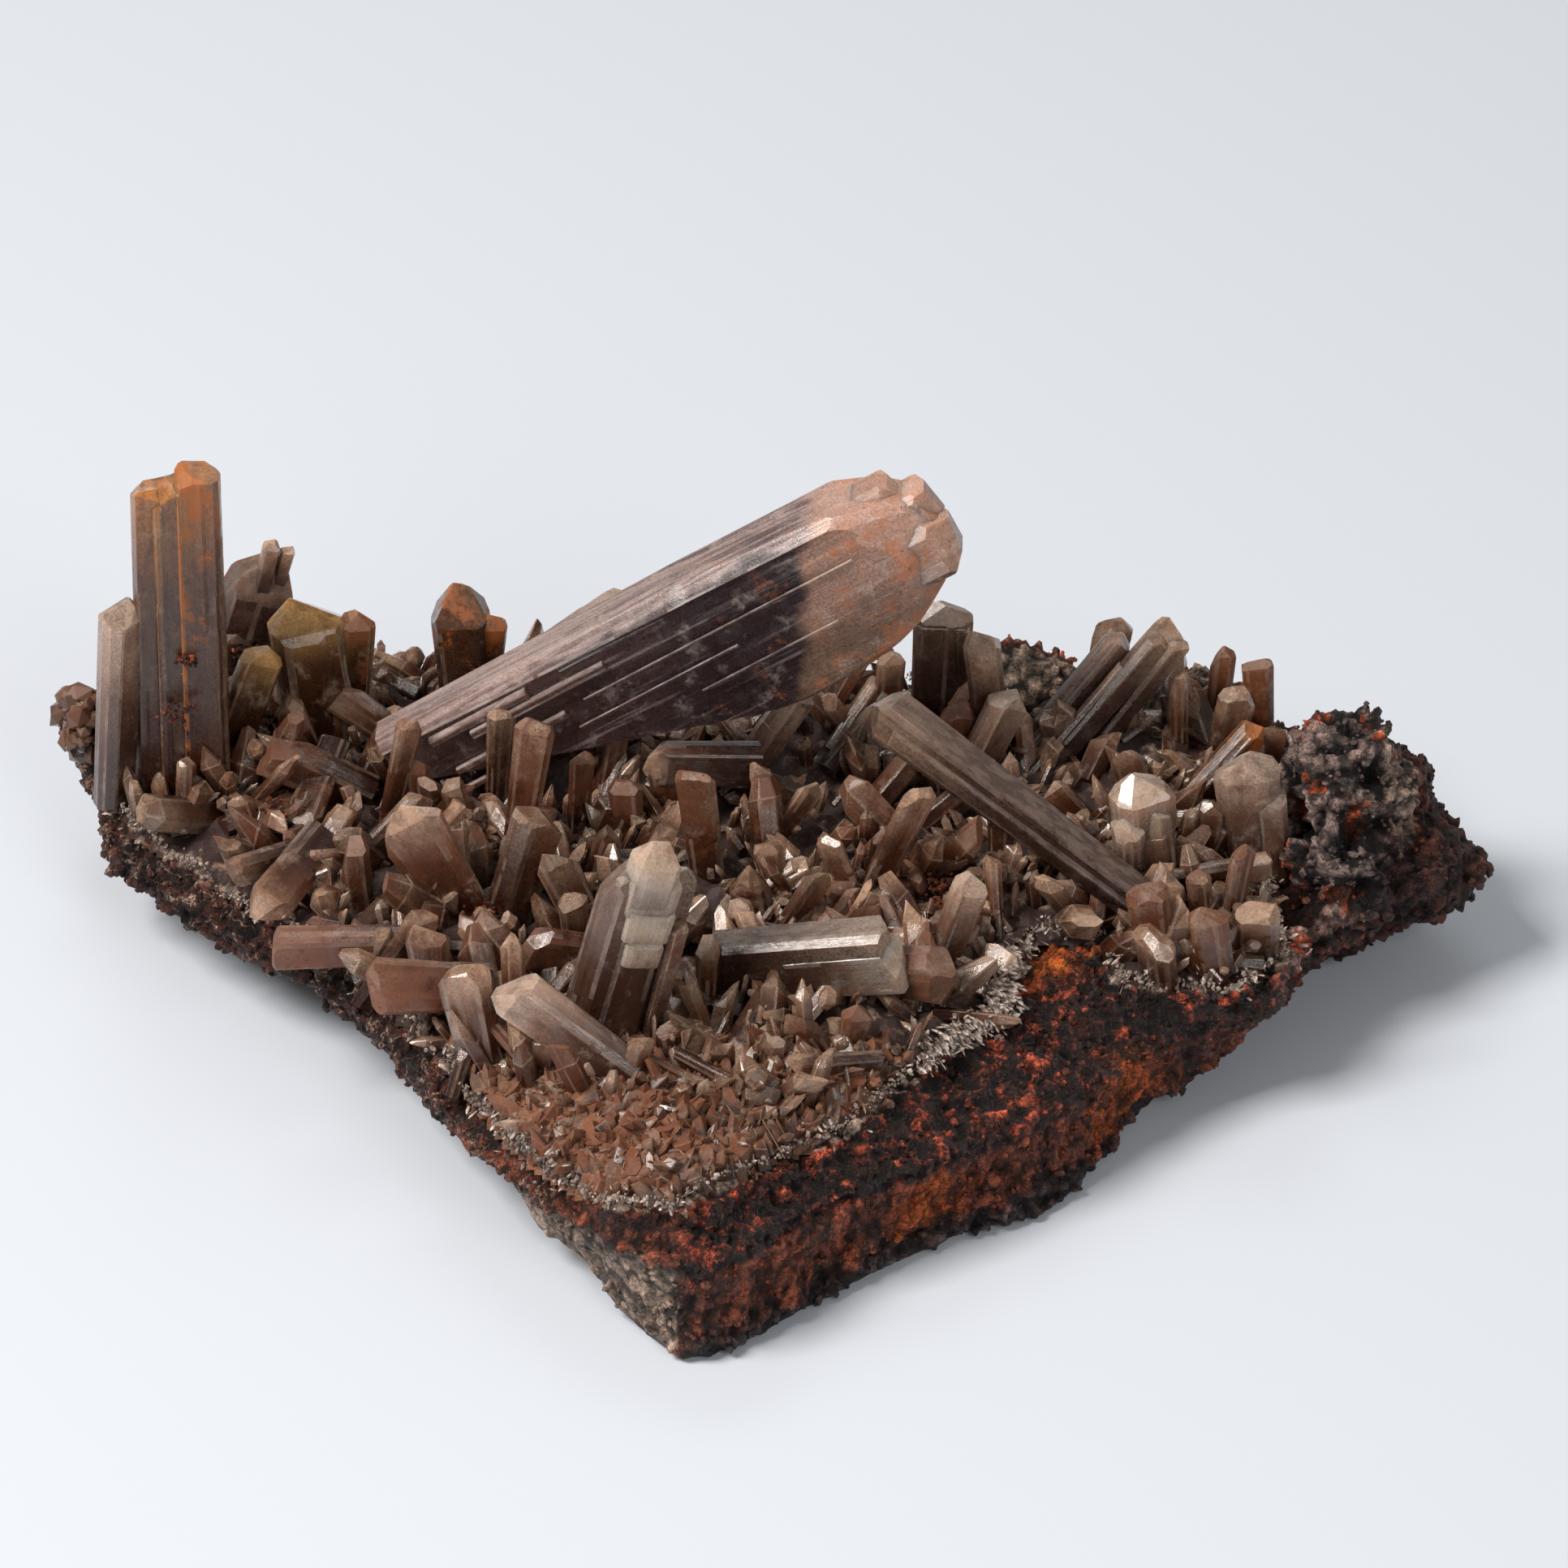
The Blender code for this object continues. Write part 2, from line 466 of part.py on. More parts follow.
def slab_rings():
    """Rings of points round the slab, from its flat underside up to its level top."""
    lows = [station.low for station in STATIONS]
    ledges = [station.ledge for station in STATIONS]
    rims = [(*station.rim, SEAT) for station in STATIONS]
    rings = [[] for _ in range(6)]
    for index in range(len(STATIONS)):
        for step in range(STEPS_BETWEEN):
            share = step / STEPS_BETWEEN
            low = round_polyline(lows, index, share)
            ledge = round_polyline(ledges, index, share)
            rim = round_polyline(rims, index, share)
            inward = SLAB_MIDDLE.to_3d() - Vector((low.x, low.y, 0.0))
            foot = Vector((low.x, low.y, 0.0)) + inward.normalized() * (UNDERCUT * low.z - 1.0)
            waist = low.lerp(ledge, 0.5) + inward.normalized() * 0.5
            slope = ledge.lerp(rim, 0.5) + Vector((0.0, 0.0, -0.3))
            rings[0].append(foot)
            rings[1].append(roughened(low, WALL_ROUGHNESS, WALL_GRAIN))
            rings[2].append(roughened(waist, WALL_ROUGHNESS, WALL_GRAIN * 1.5))
            rings[3].append(roughened(ledge, WALL_ROUGHNESS, WALL_GRAIN * 1.5))
            rings[4].append(roughened(slope, WALL_ROUGHNESS * 0.5, WALL_GRAIN * 1.5))
            rings[5].append(Vector((rim.x, rim.y, SEAT)))
    return rings


def loft(rings):
    """Closed body through rings of equal length, with flat ends."""
    bm = bmesh.new()
    loops = [[bm.verts.new(point) for point in ring] for ring in rings]
    count = len(loops[0])
    for lower, upper in zip(loops, loops[1:]):
        for k in range(count):
            after = (k + 1) % count
            bm.faces.new((lower[k], lower[after], upper[after], upper[k]))
    bm.faces.new(reversed(loops[0]))
    bm.faces.new(loops[-1])
    bmesh.ops.triangulate(bm, faces=bm.faces)
    return bm


def lump_object(lump, grow=0.0):
    """A rough knob, its surface moved out by grow."""
    bm = bmesh.new()
    bmesh.ops.create_icosphere(bm, subdivisions=2, radius=1.0)
    middle = Vector(lump.middle)
    for vert in bm.verts:
        swell = 1.0 + LUMP_ROUGHNESS * noise.noise(middle + 2.2 * vert.co)
        size = Vector([radius + grow for radius in lump.radii])
        vert.co = middle + Vector([way * half * swell for way, half in zip(vert.co, size)])
    return new_object("lump", bm)


def crust_height(x, y, rim_distance):
    """Height of the crust's surface: low along its rim, rolling further in."""
    rise = min(1.0, rim_distance / CRUST_SLOPE_WIDTH)
    roll = 0.7 * noise.noise(Vector((x * 0.13, y * 0.13, 3.0)))
    return CRUST_EDGE + rise * (CRUST_TOP - CRUST_EDGE + roll)


def inside(outline, x, y):
    """Whether the point is within the closed outline."""
    found = False
    for (ax, ay), (bx, by) in zip(outline, outline[1:] + outline[:1]):
        if (ay > y) != (by > y) and x < ax + (y - ay) / (by - ay) * (bx - ax):
            found = not found
    return found


def distance_to_rim(x, y):
    """How far a point is from the crust's rim, counted as 0 outside it."""
    if not inside(CRUST_OUTLINE, x, y):
        return 0.0
    point = Vector((x, y))
    nearest = math.inf
    for start, end in zip(CRUST_OUTLINE, CRUST_OUTLINE[1:] + CRUST_OUTLINE[:1]):
        a, b = Vector(start), Vector(end)
        share = max(0.0, min(1.0, (point - a).dot(b - a) / (b - a).length_squared))
        nearest = min(nearest, (point - a.lerp(b, share)).length)
    return nearest


def crust_block():
    """A block with the crust's rolling top, larger than the crust in plan."""
    xs = [CRUST_CELL * k for k in range(-10, 9)]
    ys = [CRUST_CELL * k for k in range(-6, 9)]
    bm = bmesh.new()
    tops, feet = [], []
    for y in ys:
        shifted = [(x + 0.9 * noise.noise(Vector((x, y, 7.0))), y) for x in xs]
        tops.append([bm.verts.new((x, y, crust_height(x, y, distance_to_rim(x, y)))) for x, y in shifted])
        feet.append([bm.verts.new((x, y, CRUST_FOOT)) for x, y in shifted])
    for row in range(len(ys) - 1):
        for column in range(len(xs) - 1):
            near, far = tops[row], tops[row + 1]
            bm.faces.new((near[column], near[column + 1], far[column + 1], far[column]))
    edge = (
        [(0, c) for c in range(len(xs))]
        + [(r, len(xs) - 1) for r in range(1, len(ys))]
        + [(len(ys) - 1, c) for c in range(len(xs) - 2, -1, -1)]
        + [(r, 0) for r in range(len(ys) - 2, 0, -1)]
    )
    for (ra, ca), (rb, cb) in zip(edge, edge[1:] + edge[:1]):
        bm.faces.new((feet[ra][ca], feet[rb][cb], tops[rb][cb], tops[ra][ca]))
    bm.faces.new([feet[r][c] for r, c in reversed(edge)])
    used = {vert for face in bm.faces for vert in face.verts}
    bmesh.ops.delete(bm, geom=[vert for vert in bm.verts if vert not in used], context="VERTS")
    bmesh.ops.triangulate(bm, faces=bm.faces)
    return new_object("druse", bm)


def crust_column():
    """An upright column with the crust's ragged outline."""
    points = []
    for index in range(len(CRUST_OUTLINE)):
        for step in range(2):
            point = round_polyline(CRUST_OUTLINE, index, step / 2).to_3d()
            points.append(roughened(point, CRUST_RAGGED, 0.6).to_2d())
    rings = [[Vector((p.x, p.y, z)) for p in points] for z in (CRUST_FOOT - 3.0, CRUST_TOP + 4.0)]
    return new_object("column", loft(rings))


def clear_of_large(prism):
    """Whether a small crystal keeps clear of every large one."""
    for large in (part for parts in LARGE_CRYSTALS.values() for part in parts):
        reach = large.width / 2 + prism.width / 2 + 0.3
        for own in (0.0, 0.5, 1.0):
            spot = axis_point(prism, own)
            for step in range(9):
                share = step / 8
                narrowing = large.waist + (1.0 - large.waist) * share
                if (axis_point(large, share) - spot).length < reach * narrowing:
                    return False
    return True


def scattered_prisms(scatter, earlier):
    """The seeded crystals of one stretch, clear of the earlier ones."""
    rng = random.Random(scatter.seed)
    placed = []
    for _ in range(SCATTER_TRIES):
        if len(placed) == scatter.count:
            break
        x, y = rng.uniform(*scatter.xs), rng.uniform(*scatter.ys)
        heading = rng.uniform(0.0, 360.0)
        rise = rng.uniform(*SCATTER_RISE)
        length, width = rng.uniform(*scatter.length), rng.uniform(*scatter.width)
        roll, tip = rng.uniform(0.0, 180.0), rng.choice((CHISEL, POINT, SLANT, BLUNT))
        rim = distance_to_rim(x, y)
        if rim < SCATTER_RIM:
            continue
        foot = (x, y, crust_height(x, y, rim) - 0.3)
        prism = Prism(foot, heading, rise, length, width, 0.8, roll, tip, 0.9, 0.8)
        others = [Vector(other.foot).to_2d() for other in earlier + placed]
        if min((Vector((x, y)) - other).length for other in others) < SCATTER_SPACING:
            continue
        if clear_of_large(prism):
            placed.append(prism)
    return placed


def level_foot(obj):
    """Cut off flat whatever reaches below the crust's foot."""
    bm = bmesh.new()
    bmesh.ops.create_cube(bm, size=1.0)
    bmesh.ops.scale(bm, verts=bm.verts, vec=(140.0, 120.0, 8.0))
    bmesh.ops.translate(bm, verts=bm.verts, vec=(0.0, 5.0, CRUST_FOOT - 4.0))
    combine(obj, new_object("below", bm), "DIFFERENCE")


def keep_largest_body(obj):
    """Drop chips that a cut has parted from the piece."""
    bm = bmesh.new()
    bm.from_mesh(obj.data)
    left = set(bm.verts)
    bodies = []
    while left:
        body, edge = set(), [left.pop()]
        while edge:
            vert = edge.pop()
            body.add(vert)
            for link in vert.link_edges:
                other = link.other_vert(vert)
                if other in left:
                    left.remove(other)
                    edge.append(other)
        bodies.append(body)
    bodies.sort(key=len)
    loose = [vert for body in bodies[:-1] for vert in body]
    bmesh.ops.delete(bm, geom=loose, context="VERTS")
    bm.to_mesh(obj.data)
    bm.free()


def dress(obj, finish):
    """Give a piece its one material."""
    obj.data.materials.clear()
    obj.data.materials.append(finish_material(obj.name, finish))


def make_matrix():
    """The limonite slab with its ledges and knobs."""
    slab = new_object("matrix", loft(slab_rings()))
    for lump in LUMPS:
        combine(slab, lump_object(lump), "UNION")
    dress(slab, LIMONITE)
    return slab


def make_druse():
    """The crust with every small and middling crystal, in one solid."""
    crust = crust_block()
    combine(crust, crust_column(), "INTERSECT")
    prisms = list(CRUST_PRISMS)
    for scatter in SCATTERS:
        prisms += scattered_prisms(scatter, prisms)
    for prism in prisms:
        combine(crust, prism_object("grown", prism, sides=6), "UNION")
    for lump in LUMPS:
        combine(crust, lump_object(lump, GAP), "DIFFERENCE")
    level_foot(crust)
    dress(crust, CRUST)
    return crust


def make_large_crystal(name):
    """One large crystal, or a bundle grown side by side, in one solid."""
    first, *others = LARGE_CRYSTALS[name]
    crystal = prism_object(name, first)
    for prism in others:
        combine(crystal, prism_object("side", prism), "UNION")
    dress(crystal, CRYSTAL_FINISHES.get(name, SMOKY))
    return crystal


def cut_sockets(pieces):
    """Leave room in the pieces for the roots of the large crystals."""
    for parts in LARGE_CRYSTALS.values():
        for prism in parts:
            for piece in pieces:
                combine(piece, prism_object("socket", prism, GAP), "DIFFERENCE")


def main():
    clear_scene()
    slab = make_matrix()
    druse = make_druse()
    for name in LARGE_CRYSTALS:
        make_large_crystal(name)
    cut_sockets((slab, druse))
    keep_largest_body(slab)
    keep_largest_body(druse)


main()
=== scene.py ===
"""The dressed hemimorphite specimen: crumbly limonite, a druse of small crystals and the large striated ones."""

import itertools
import logging
import math
from collections.abc import Callable
from dataclasses import dataclass, field
from enum import Enum
from typing import NamedTuple

import bmesh
import bpy
import numpy as np
from mathutils import Matrix, Vector


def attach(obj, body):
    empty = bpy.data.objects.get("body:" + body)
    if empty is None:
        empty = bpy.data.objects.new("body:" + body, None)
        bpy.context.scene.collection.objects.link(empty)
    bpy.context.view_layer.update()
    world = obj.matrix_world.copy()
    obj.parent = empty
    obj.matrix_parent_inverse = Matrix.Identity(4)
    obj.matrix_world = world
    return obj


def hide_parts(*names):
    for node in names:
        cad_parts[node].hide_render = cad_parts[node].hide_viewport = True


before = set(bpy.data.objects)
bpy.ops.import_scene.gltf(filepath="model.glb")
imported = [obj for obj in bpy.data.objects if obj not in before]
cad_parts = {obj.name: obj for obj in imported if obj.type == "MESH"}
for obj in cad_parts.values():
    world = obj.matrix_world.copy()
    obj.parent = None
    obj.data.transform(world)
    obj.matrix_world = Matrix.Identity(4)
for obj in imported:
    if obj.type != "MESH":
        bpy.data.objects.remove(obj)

MM = 0.001
ORIGIN = np.array([-0.33, 5.34, 0.0])  # the drawing's point that lies at the part's origin, in millimetres
LOG = logging.getLogger("specimen")
Colour = tuple[float, float, float]
Place = tuple[float, float, float]
Factors = tuple[float, float, float]  # one for each axis
Plane = tuple[tuple[float, ...], tuple[float, ...]]  # a point and an outward direction
Rows = np.ndarray  # a number, or a row of numbers, for each of many points
Chance = np.random.Generator
Piece = bpy.types.Object
Material = bpy.types.Material
Socket = bpy.types.NodeSocket


class Tip(NamedTuple):
    """How a prism ends: the share of its width that the end edge keeps, and the end's height in widths."""

    edge: float
    height: float
    slant: float = 0.0


CHISEL = Tip(0.55, 0.55)
POINT = Tip(0.12, 0.75)
BLUNT = Tip(0.8, 0.18)
SLANT = Tip(0.45, 0.6, 0.45)


class Prism(NamedTuple):
    """A flat-sided crystal that leaves the crust at foot and points along heading and rise, in degrees."""

    foot: Place
    heading: float
    rise: float
    length: float
    width: float
    flat: float = 0.8
    roll: float = 0.0
    tip: Tip = CHISEL
    waist: float = 0.88
    root: float = 1.4


LARGE: dict[str, tuple[Prism, ...]] = {
    "rear_companion_crystal": (
        Prism((-22.0, 28.6, 12.2), -3, 39, 17.0, 3.4, 0.75, 0, SLANT, 0.8),
        Prism((-21.0, 28.8, 12.6), -3, 38, 15.6, 2.0, 1.0, 0, BLUNT, 0.8),
    ),
    "pillar_crystal": (
        Prism((-39.7, 21.8, 12.0), 0, 89.5, 25.3, 3.3, 0.95, 0, Tip(0.7, 0.12, -0.12), 0.95),
        Prism((-43.5, 22.4, 12.0), 0, 88.5, 23.6, 2.6, 1.0, 0, Tip(0.97, 0.03), 0.95),
        Prism((-41.7, 22.0, 12.0), 0, 89.0, 24.4, 2.0, 1.3, 0, Tip(0.9, 0.1, 0.1), 0.95),
        Prism((-41.4, 23.6, 12.0), 0, 88.5, 23.6, 4.8, 0.55, 0, BLUNT, 0.95),
        Prism((-42.5, 21.2, 12.0), 0, 89.0, 22.6, 1.1, 0.8, 0, BLUNT, 1.0),
        Prism((-40.9, 20.6, 12.0), 0, 89.2, 24.2, 0.6, 0.8, 0, BLUNT, 1.0),
        Prism((-38.9, 20.9, 12.0), 0, 89.5, 19.0, 1.0, 0.7, 0, BLUNT, 1.0),
    ),
    "pillar_companion_crystal": (Prism((-46.3, 21.2, 12.0), 20, 85, 14.6, 3.0, 0.85, 30, Tip(0.5, 0.5)),),
    "leaning_crystal": (
        Prism((-38.8, 33.2, 12.0), 10, 73, 12.0, 5.2, 0.65, 0, Tip(0.3, 0.85, 0.1), 1.1),
        Prism((-37.0, 32.6, 17.0), 12, 76, 7.6, 1.3, 0.9, 0, POINT),
        Prism((-36.0, 33.0, 17.0), 8, 74, 7.0, 1.1, 0.9, 0, POINT),
        Prism((-40.2, 31.8, 12.0), 8, 70, 6.4, 2.4, 0.8, 20, POINT),
    ),
    "gemmy_crystal": (
        Prism((-32.0, 28.6, 12.2), 178, 84, 11.2, 6.0, 0.8, 12, Tip(0.3, 0.62, 0.16), 1.1),
        Prism((-29.8, 28.2, 12.2), 10, 86, 9.6, 2.6, 0.9, 0, SLANT),
    ),
    "slender_crystal": (Prism((-38.4, 24.6, 12.0), 12, 70, 9.4, 3.0, 0.6, 0, SLANT, 1.1),),
    "rusty_crystal": (
        Prism((-21.8, 32.2, 12.0), 180, 87, 9.2, 4.4, 0.8, 0, POINT),
        Prism((-20.4, 31.8, 12.0), 10, 84, 7.2, 2.2, 0.8, 0, POINT),
    ),
    "white_capped_crystal": (
        Prism((-11.6, -8.6, 12.0), 20, 74, 15.6, 5.4, 0.62, 0, Tip(0.16, 0.75, -0.2), 1.02),
        Prism((-9.2, -7.6, 12.0), 22, 75, 12.8, 3.0, 1.0, 10, SLANT),
        Prism((-8.0, -9.0, 12.0), 20, 76, 9.0, 1.3, 1.0, 10, SLANT),
    ),
    "crossing_crystal": (
        Prism((24.0, 6.8, 12.8), 147, 21, 22.4, 3.6, 0.8, 0, SLANT, 0.75),
        Prism((23.4, 6.0, 12.6), 147, 21, 19.0, 1.6, 0.9, 0, BLUNT, 0.8),
    ),
    "blade_crystal": (
        Prism((12.0, 28.6, 12.2), 0, 88, 10.2, 4.4, 0.6, 0, Tip(0.3, 0.5)),
        Prism((14.0, 28.0, 12.2), 180, 87, 8.6, 1.2, 1.2, 0, POINT),
    ),
    "slim_crystal": (Prism((15.8, 26.0, 12.0), 180, 84, 9.6, 2.8, 0.85, 0, POINT),),
    "striated_bundle_crystal": (
        Prism((18.8, 25.0, 12.2), 25, 46, 10.6, 2.2, 0.8, 15, SLANT),
        Prism((20.6, 23.6, 12.2), 24, 45, 11.0, 2.2, 0.8, 0, BLUNT),
        Prism((22.0, 25.2, 12.4), 22, 47, 11.2, 2.6, 0.8, 80),
        Prism((19.6, 23.0, 12.0), 26, 44, 9.4, 1.4, 0.7, 0, SLANT),
        Prism((23.4, 24.4, 12.4), 21, 50, 10.0, 1.6, 0.8, 0, SLANT),
    ),
    "oblique_crystal": (Prism((14.4, 21.6, 12.0), 35, 58, 7.2, 3.0, 0.7, 0, SLANT),),
    "orange_crystal": (Prism((30.2, 19.0, 12.0), 25, 42, 7.0, 2.4, 0.8, 10),),
    "egg_crystal": (
        Prism((26.2, 10.6, 12.0), 200, 86, 8.4, 4.8, 0.75, 0, Tip(0.15, 0.55), 0.75),
        Prism((26.9, 9.9, 12.6), 160, 80, 6.2, 3.4, 0.8, 10, Tip(0.2, 0.6), 0.8),
        Prism((25.0, 9.8, 12.6), 250, 78, 5.0, 3.0, 0.8, 30, Tip(0.2, 0.6), 0.8),
    ),
    "broad_pale_crystal": (
        Prism((34.0, 13.4, 11.6), 172, 82, 8.2, 4.8, 0.7, 0, Tip(0.4, 0.5, -0.2)),
        Prism((35.2, 12.6, 11.6), 170, 84, 5.8, 2.4, 0.9, 10),
    ),
    "ledge_crystal": (
        Prism((-2.0, -3.0, 13.4), -10, 12, 10.8, 4.6, 0.75, 0, Tip(0.9, 0.1), 0.9, 0.6),
        Prism((3.0, -4.2, 13.6), -10, 12, 6.4, 3.8, 0.8, 0, Tip(0.9, 0.1), 0.9, 0.6),
    ),
    "upright_pale_crystal": (Prism((12.2, 0.8, 11.8), 10, 72, 6.8, 2.6, 0.8, 0, POINT),),
    "front_left_crystal": (Prism((-10.8, -13.6, 13.0), 162, 32, 9.4, 3.5, 0.8, 0, SLANT, 0.85, 1.0),),
    "bullet_crystal": (Prism((-2.6, 19.0, 14.4), -170, 8, 7.2, 3.0, 0.85, 10, POINT, 1.1, 0.8),),
    "knob_ended_crystal": (Prism((-1.4, 22.6, 11.8), 16, 56, 6.8, 2.4, 0.85, 20, BLUNT, 1.0),),
}

MIDDLING = tuple(Prism(*row) for row in (
    ((-49.4, 28.6, 10.4), 170, 80, 4.4, 2.0, 0.9, 0, BLUNT),
    ((-41.2, 18.4, 11.4), 80, 72, 4.2, 1.8),
    ((-31.0, 20.0, 12.4), 180, 30, 6.4, 3.4, 0.8, 0, SLANT),
    ((-31.6, 19.4, 13.2), 250, -22, 6.4, 2.6, 0.6, 90, POINT),
    ((-32.4, 10.0, 12.4), 242, -8, 6.2, 3.6, 0.6, 60),
    ((-34.0, 11.0, 12.0), 215, 5, 4.0, 2.4, 0.7, 0, BLUNT),
    ((-28.6, 8.0, 12.0), 180, 86, 4.4, 1.9, 0.9, 0, POINT),
    ((-29.2, 11.2, 12.0), 205, 8, 3.2, 1.7, 0.8, 0, BLUNT),
    ((-28.0, 11.6, 12.0), 40, 27, 6.2, 2.0),
    ((-26.6, 25.4, 12.4), 168, 34, 6.4, 2.6, 0.7, 20, SLANT),
    ((-26.6, 16.8, 12.0), 35, 75, 7.2, 1.9),
    ((-24.6, 17.8, 12.0), 180, 85, 4.6, 2.2, 0.9, 0, POINT),
    ((-36.8, 16.2, 12.0), 180, 74, 2.6, 1.6),
    ((-21.4, 15.4, 12.0), 170, 82, 4.2, 2.3, 0.9, 0, POINT),
    ((-21.6, 6.0, 12.0), 152, 54, 7.8, 5.6, 0.5, 10, Tip(0.8, 0.3)),
    ((-17.8, 5.2, 12.0), 24, 72, 8.0, 3.2, 0.8, 0, BLUNT),
    ((-17.6, 12.2, 12.0), 35, 80, 10.6, 2.6, 0.8, -35),
    ((-19.2, 17.8, 12.0), 20, 86, 6.8, 2.0, 0.9, 0, BLUNT),
    ((-13.4, 15.8, 12.0), 10, 86, 6.2, 1.9, 0.9, 0),
    ((-11.4, 19.6, 12.0), 50, 74, 5.6, 2.0, 0.9, 0, POINT),
    ((-7.0, 17.4, 12.0), 180, 82, 4.2, 2.4, 0.8, 0, SLANT),
    ((-4.4, 10.2, 12.0), 175, 84, 7.0, 2.5, 0.8, 0, BLUNT),
    ((-9.8, 14.6, 12.0), 170, 85, 4.2, 2.1, 0.8, 0, BLUNT),
    ((-12.0, 9.6, 12.0), 35, 68, 5.2, 2.7, 0.7, 0, POINT),
    ((-13.2, 0.8, 12.2), 180, 86, 4.4, 1.8, 0.9, 0, BLUNT),
    ((-13.6, -1.4, 13.0), 190, 14, 5.6, 3.0, 0.6, 0, SLANT),
    ((-12.6, 2.8, 12.2), 155, 64, 6.0, 3.0, 0.5, 20),
    ((-23.0, -3.2, 12.4), 180, 86, 5.4, 2.9, 0.8, 0, POINT),
    ((-21.6, -6.2, 13.6), 195, 12, 7.0, 3.8, 0.4, 60),
    ((-19.6, -10.6, 12.0), 130, 74, 6.0, 3.3, 0.6, 40, BLUNT),
    ((-17.8, -10.4, 13.0), 312, -20, 4.8, 2.5, 0.6, 60),
    ((-20.2, -11.0, 11.4), 55, 58, 5.0, 2.2, 0.7, 0, SLANT),
    ((-26.6, 0.2, 12.4), 180, -2, 7.6, 2.8, 0.8, 0, BLUNT),
    ((-26.2, -1.6, 11.4), 33, 46, 6.8, 2.5, 0.7, 0, SLANT),
    ((-32.6, 24.2, 12.0), 150, 60, 5.0, 2.2),
    ((-9.4, -14.6, 11.8), 42, 68, 4.4, 1.9),
    ((-7.8, -13.4, 12.4), 333, -12, 5.0, 2.2, 0.7, 20, BLUNT),
    ((-3.6, -14.4, 12.2), 332, -14, 4.8, 2.0, 0.7, 20, BLUNT),
    ((-6.4, -10.0, 12.0), 180, 80, 3.0, 2.3, 0.8, 0, POINT),
    ((-4.2, -4.6, 12.0), 80, 78, 5.8, 3.0, 0.6, 0, POINT),
    ((-1.8, 1.2, 12.2), 175, 80, 4.2, 2.0, 0.9, 0, POINT),
    ((-1.2, 5.6, 12.2), 175, 80, 3.8, 2.5, 0.9, 0, POINT),
    ((0.4, 8.6, 12.0), 180, 78, 3.8, 1.9, 0.9, 0, POINT),
    ((5.6, 6.8, 12.0), 155, 66, 6.2, 1.7, 0.6, 0, SLANT),
    ((1.0, 2.8, 12.0), 30, 48, 6.4, 3.4, 0.5, 20),
    ((6.4, 2.0, 12.2), 0, 84, 3.8, 2.4, 0.9, 0, POINT),
    ((7.2, 7.6, 12.0), 30, 60, 8.0, 2.5, 0.7, 0, SLANT),
    ((8.2, -3.4, 12.8), 333, 14, 4.8, 3.4, 0.9, 0, BLUNT),
    ((15.6, 5.6, 11.8), 100, 62, 4.2, 1.8),
    ((2.8, -10.4, 12.0), 155, 54, 4.4, 2.8, 0.7, 0, POINT),
    ((5.6, -9.8, 12.0), 20, 78, 3.2, 2.3, 0.9, 0, POINT),
    ((-0.6, -16.2, 11.6), 20, 76, 3.0, 2.3, 0.8, 0, POINT),
    ((4.6, -12.8, 12.0), 193, 4, 4.6, 2.0),
    ((1.4, 15.4, 12.0), 30, 50, 4.0, 1.8),
    ((8.4, 29.2, 12.4), 20, 86, 4.6, 1.8, 0.9, 0, POINT),
    ((13.0, 24.0, 12.0), 20, 84, 4.2, 2.4, 0.9, 0, BLUNT),
    ((23.4, 30.4, 12.0), 37, 76, 6.8, 2.7, 0.9, 0, BLUNT),
    ((29.0, 30.4, 12.0), 80, 78, 5.4, 2.4, 0.9, 0, POINT),
    ((32.0, 29.4, 12.0), 0, 86, 5.4, 1.6, 0.9, 0, POINT),
    ((35.0, 28.8, 11.8), 180, 86, 5.8, 2.4, 0.9, 0),
    ((29.0, 26.0, 12.0), 100, 78, 6.4, 2.5),
    ((32.4, 25.0, 12.0), 10, 80, 4.4, 2.8, 0.8, 0, BLUNT),
    ((35.2, 22.4, 12.0), 0, 84, 5.2, 2.3, 0.9, 0, POINT),
    ((25.8, 18.6, 12.0), 170, 78, 5.0, 2.8, 0.7, 0, SLANT),
    ((30.6, 13.2, 12.0), 0, 84, 4.0, 2.0, 0.9, 0),
    ((29.8, 8.4, 12.2), 8, 6, 5.0, 1.9, 0.7, 0, BLUNT),
    ((32.0, 5.6, 11.8), 60, 70, 4.2, 2.8, 0.6, 0, BLUNT),
    ((29.8, 5.0, 11.8), 170, 84, 4.0, 1.6, 0.9, 0),
    ((26.4, 2.6, 11.4), 180, 82, 4.2, 2.6, 0.8, 0, BLUNT),
    ((33.6, 2.2, 11.4), 260, 66, 4.2, 3.2, 0.7, 90, BLUNT),
    ((30.6, 0.2, 11.0), 180, 80, 4.8, 2.5),
    ((26.6, 0.0, 11.0), 250, 70, 3.6, 3.0, 0.8, 60, BLUNT),
    ((22.2, 12.4, 12.0), 156, 45, 3.8, 2.0, 0.8, 0, POINT),
    ((21.4, 16.6, 12.0), 180, 50, 3.8, 2.0),
))

CRUST_OUTLINE = np.array(
    [
        (-6.0, -25.4), (1.0, -20.0), (5.0, -17.4), (8.2, -13.2), (12.0, -8.2), (15.5, -4.2), (16.4, 0.0),
        (18.4, 4.6), (22.6, 4.4), (24.0, -0.4), (31.5, -1.5), (35.8, 2.6), (35.2, 9.0), (34.8, 13.5),
        (35.4, 19.5), (38.0, 25.5), (35.5, 30.5), (25.0, 34.5), (12.0, 35.5), (-6.0, 35.5), (-20.0, 36.5),
        (-33.0, 39.0), (-43.0, 37.0), (-49.6, 31.6), (-46.6, 24.0), (-45.2, 17.8), (-37.6, 9.8), (-30.4, 3.2),
        (-24.8, -5.0), (-20.6, -12.0), (-18.0, -17.6), (-14.8, -21.8), (-11.0, -25.0),
    ]
)
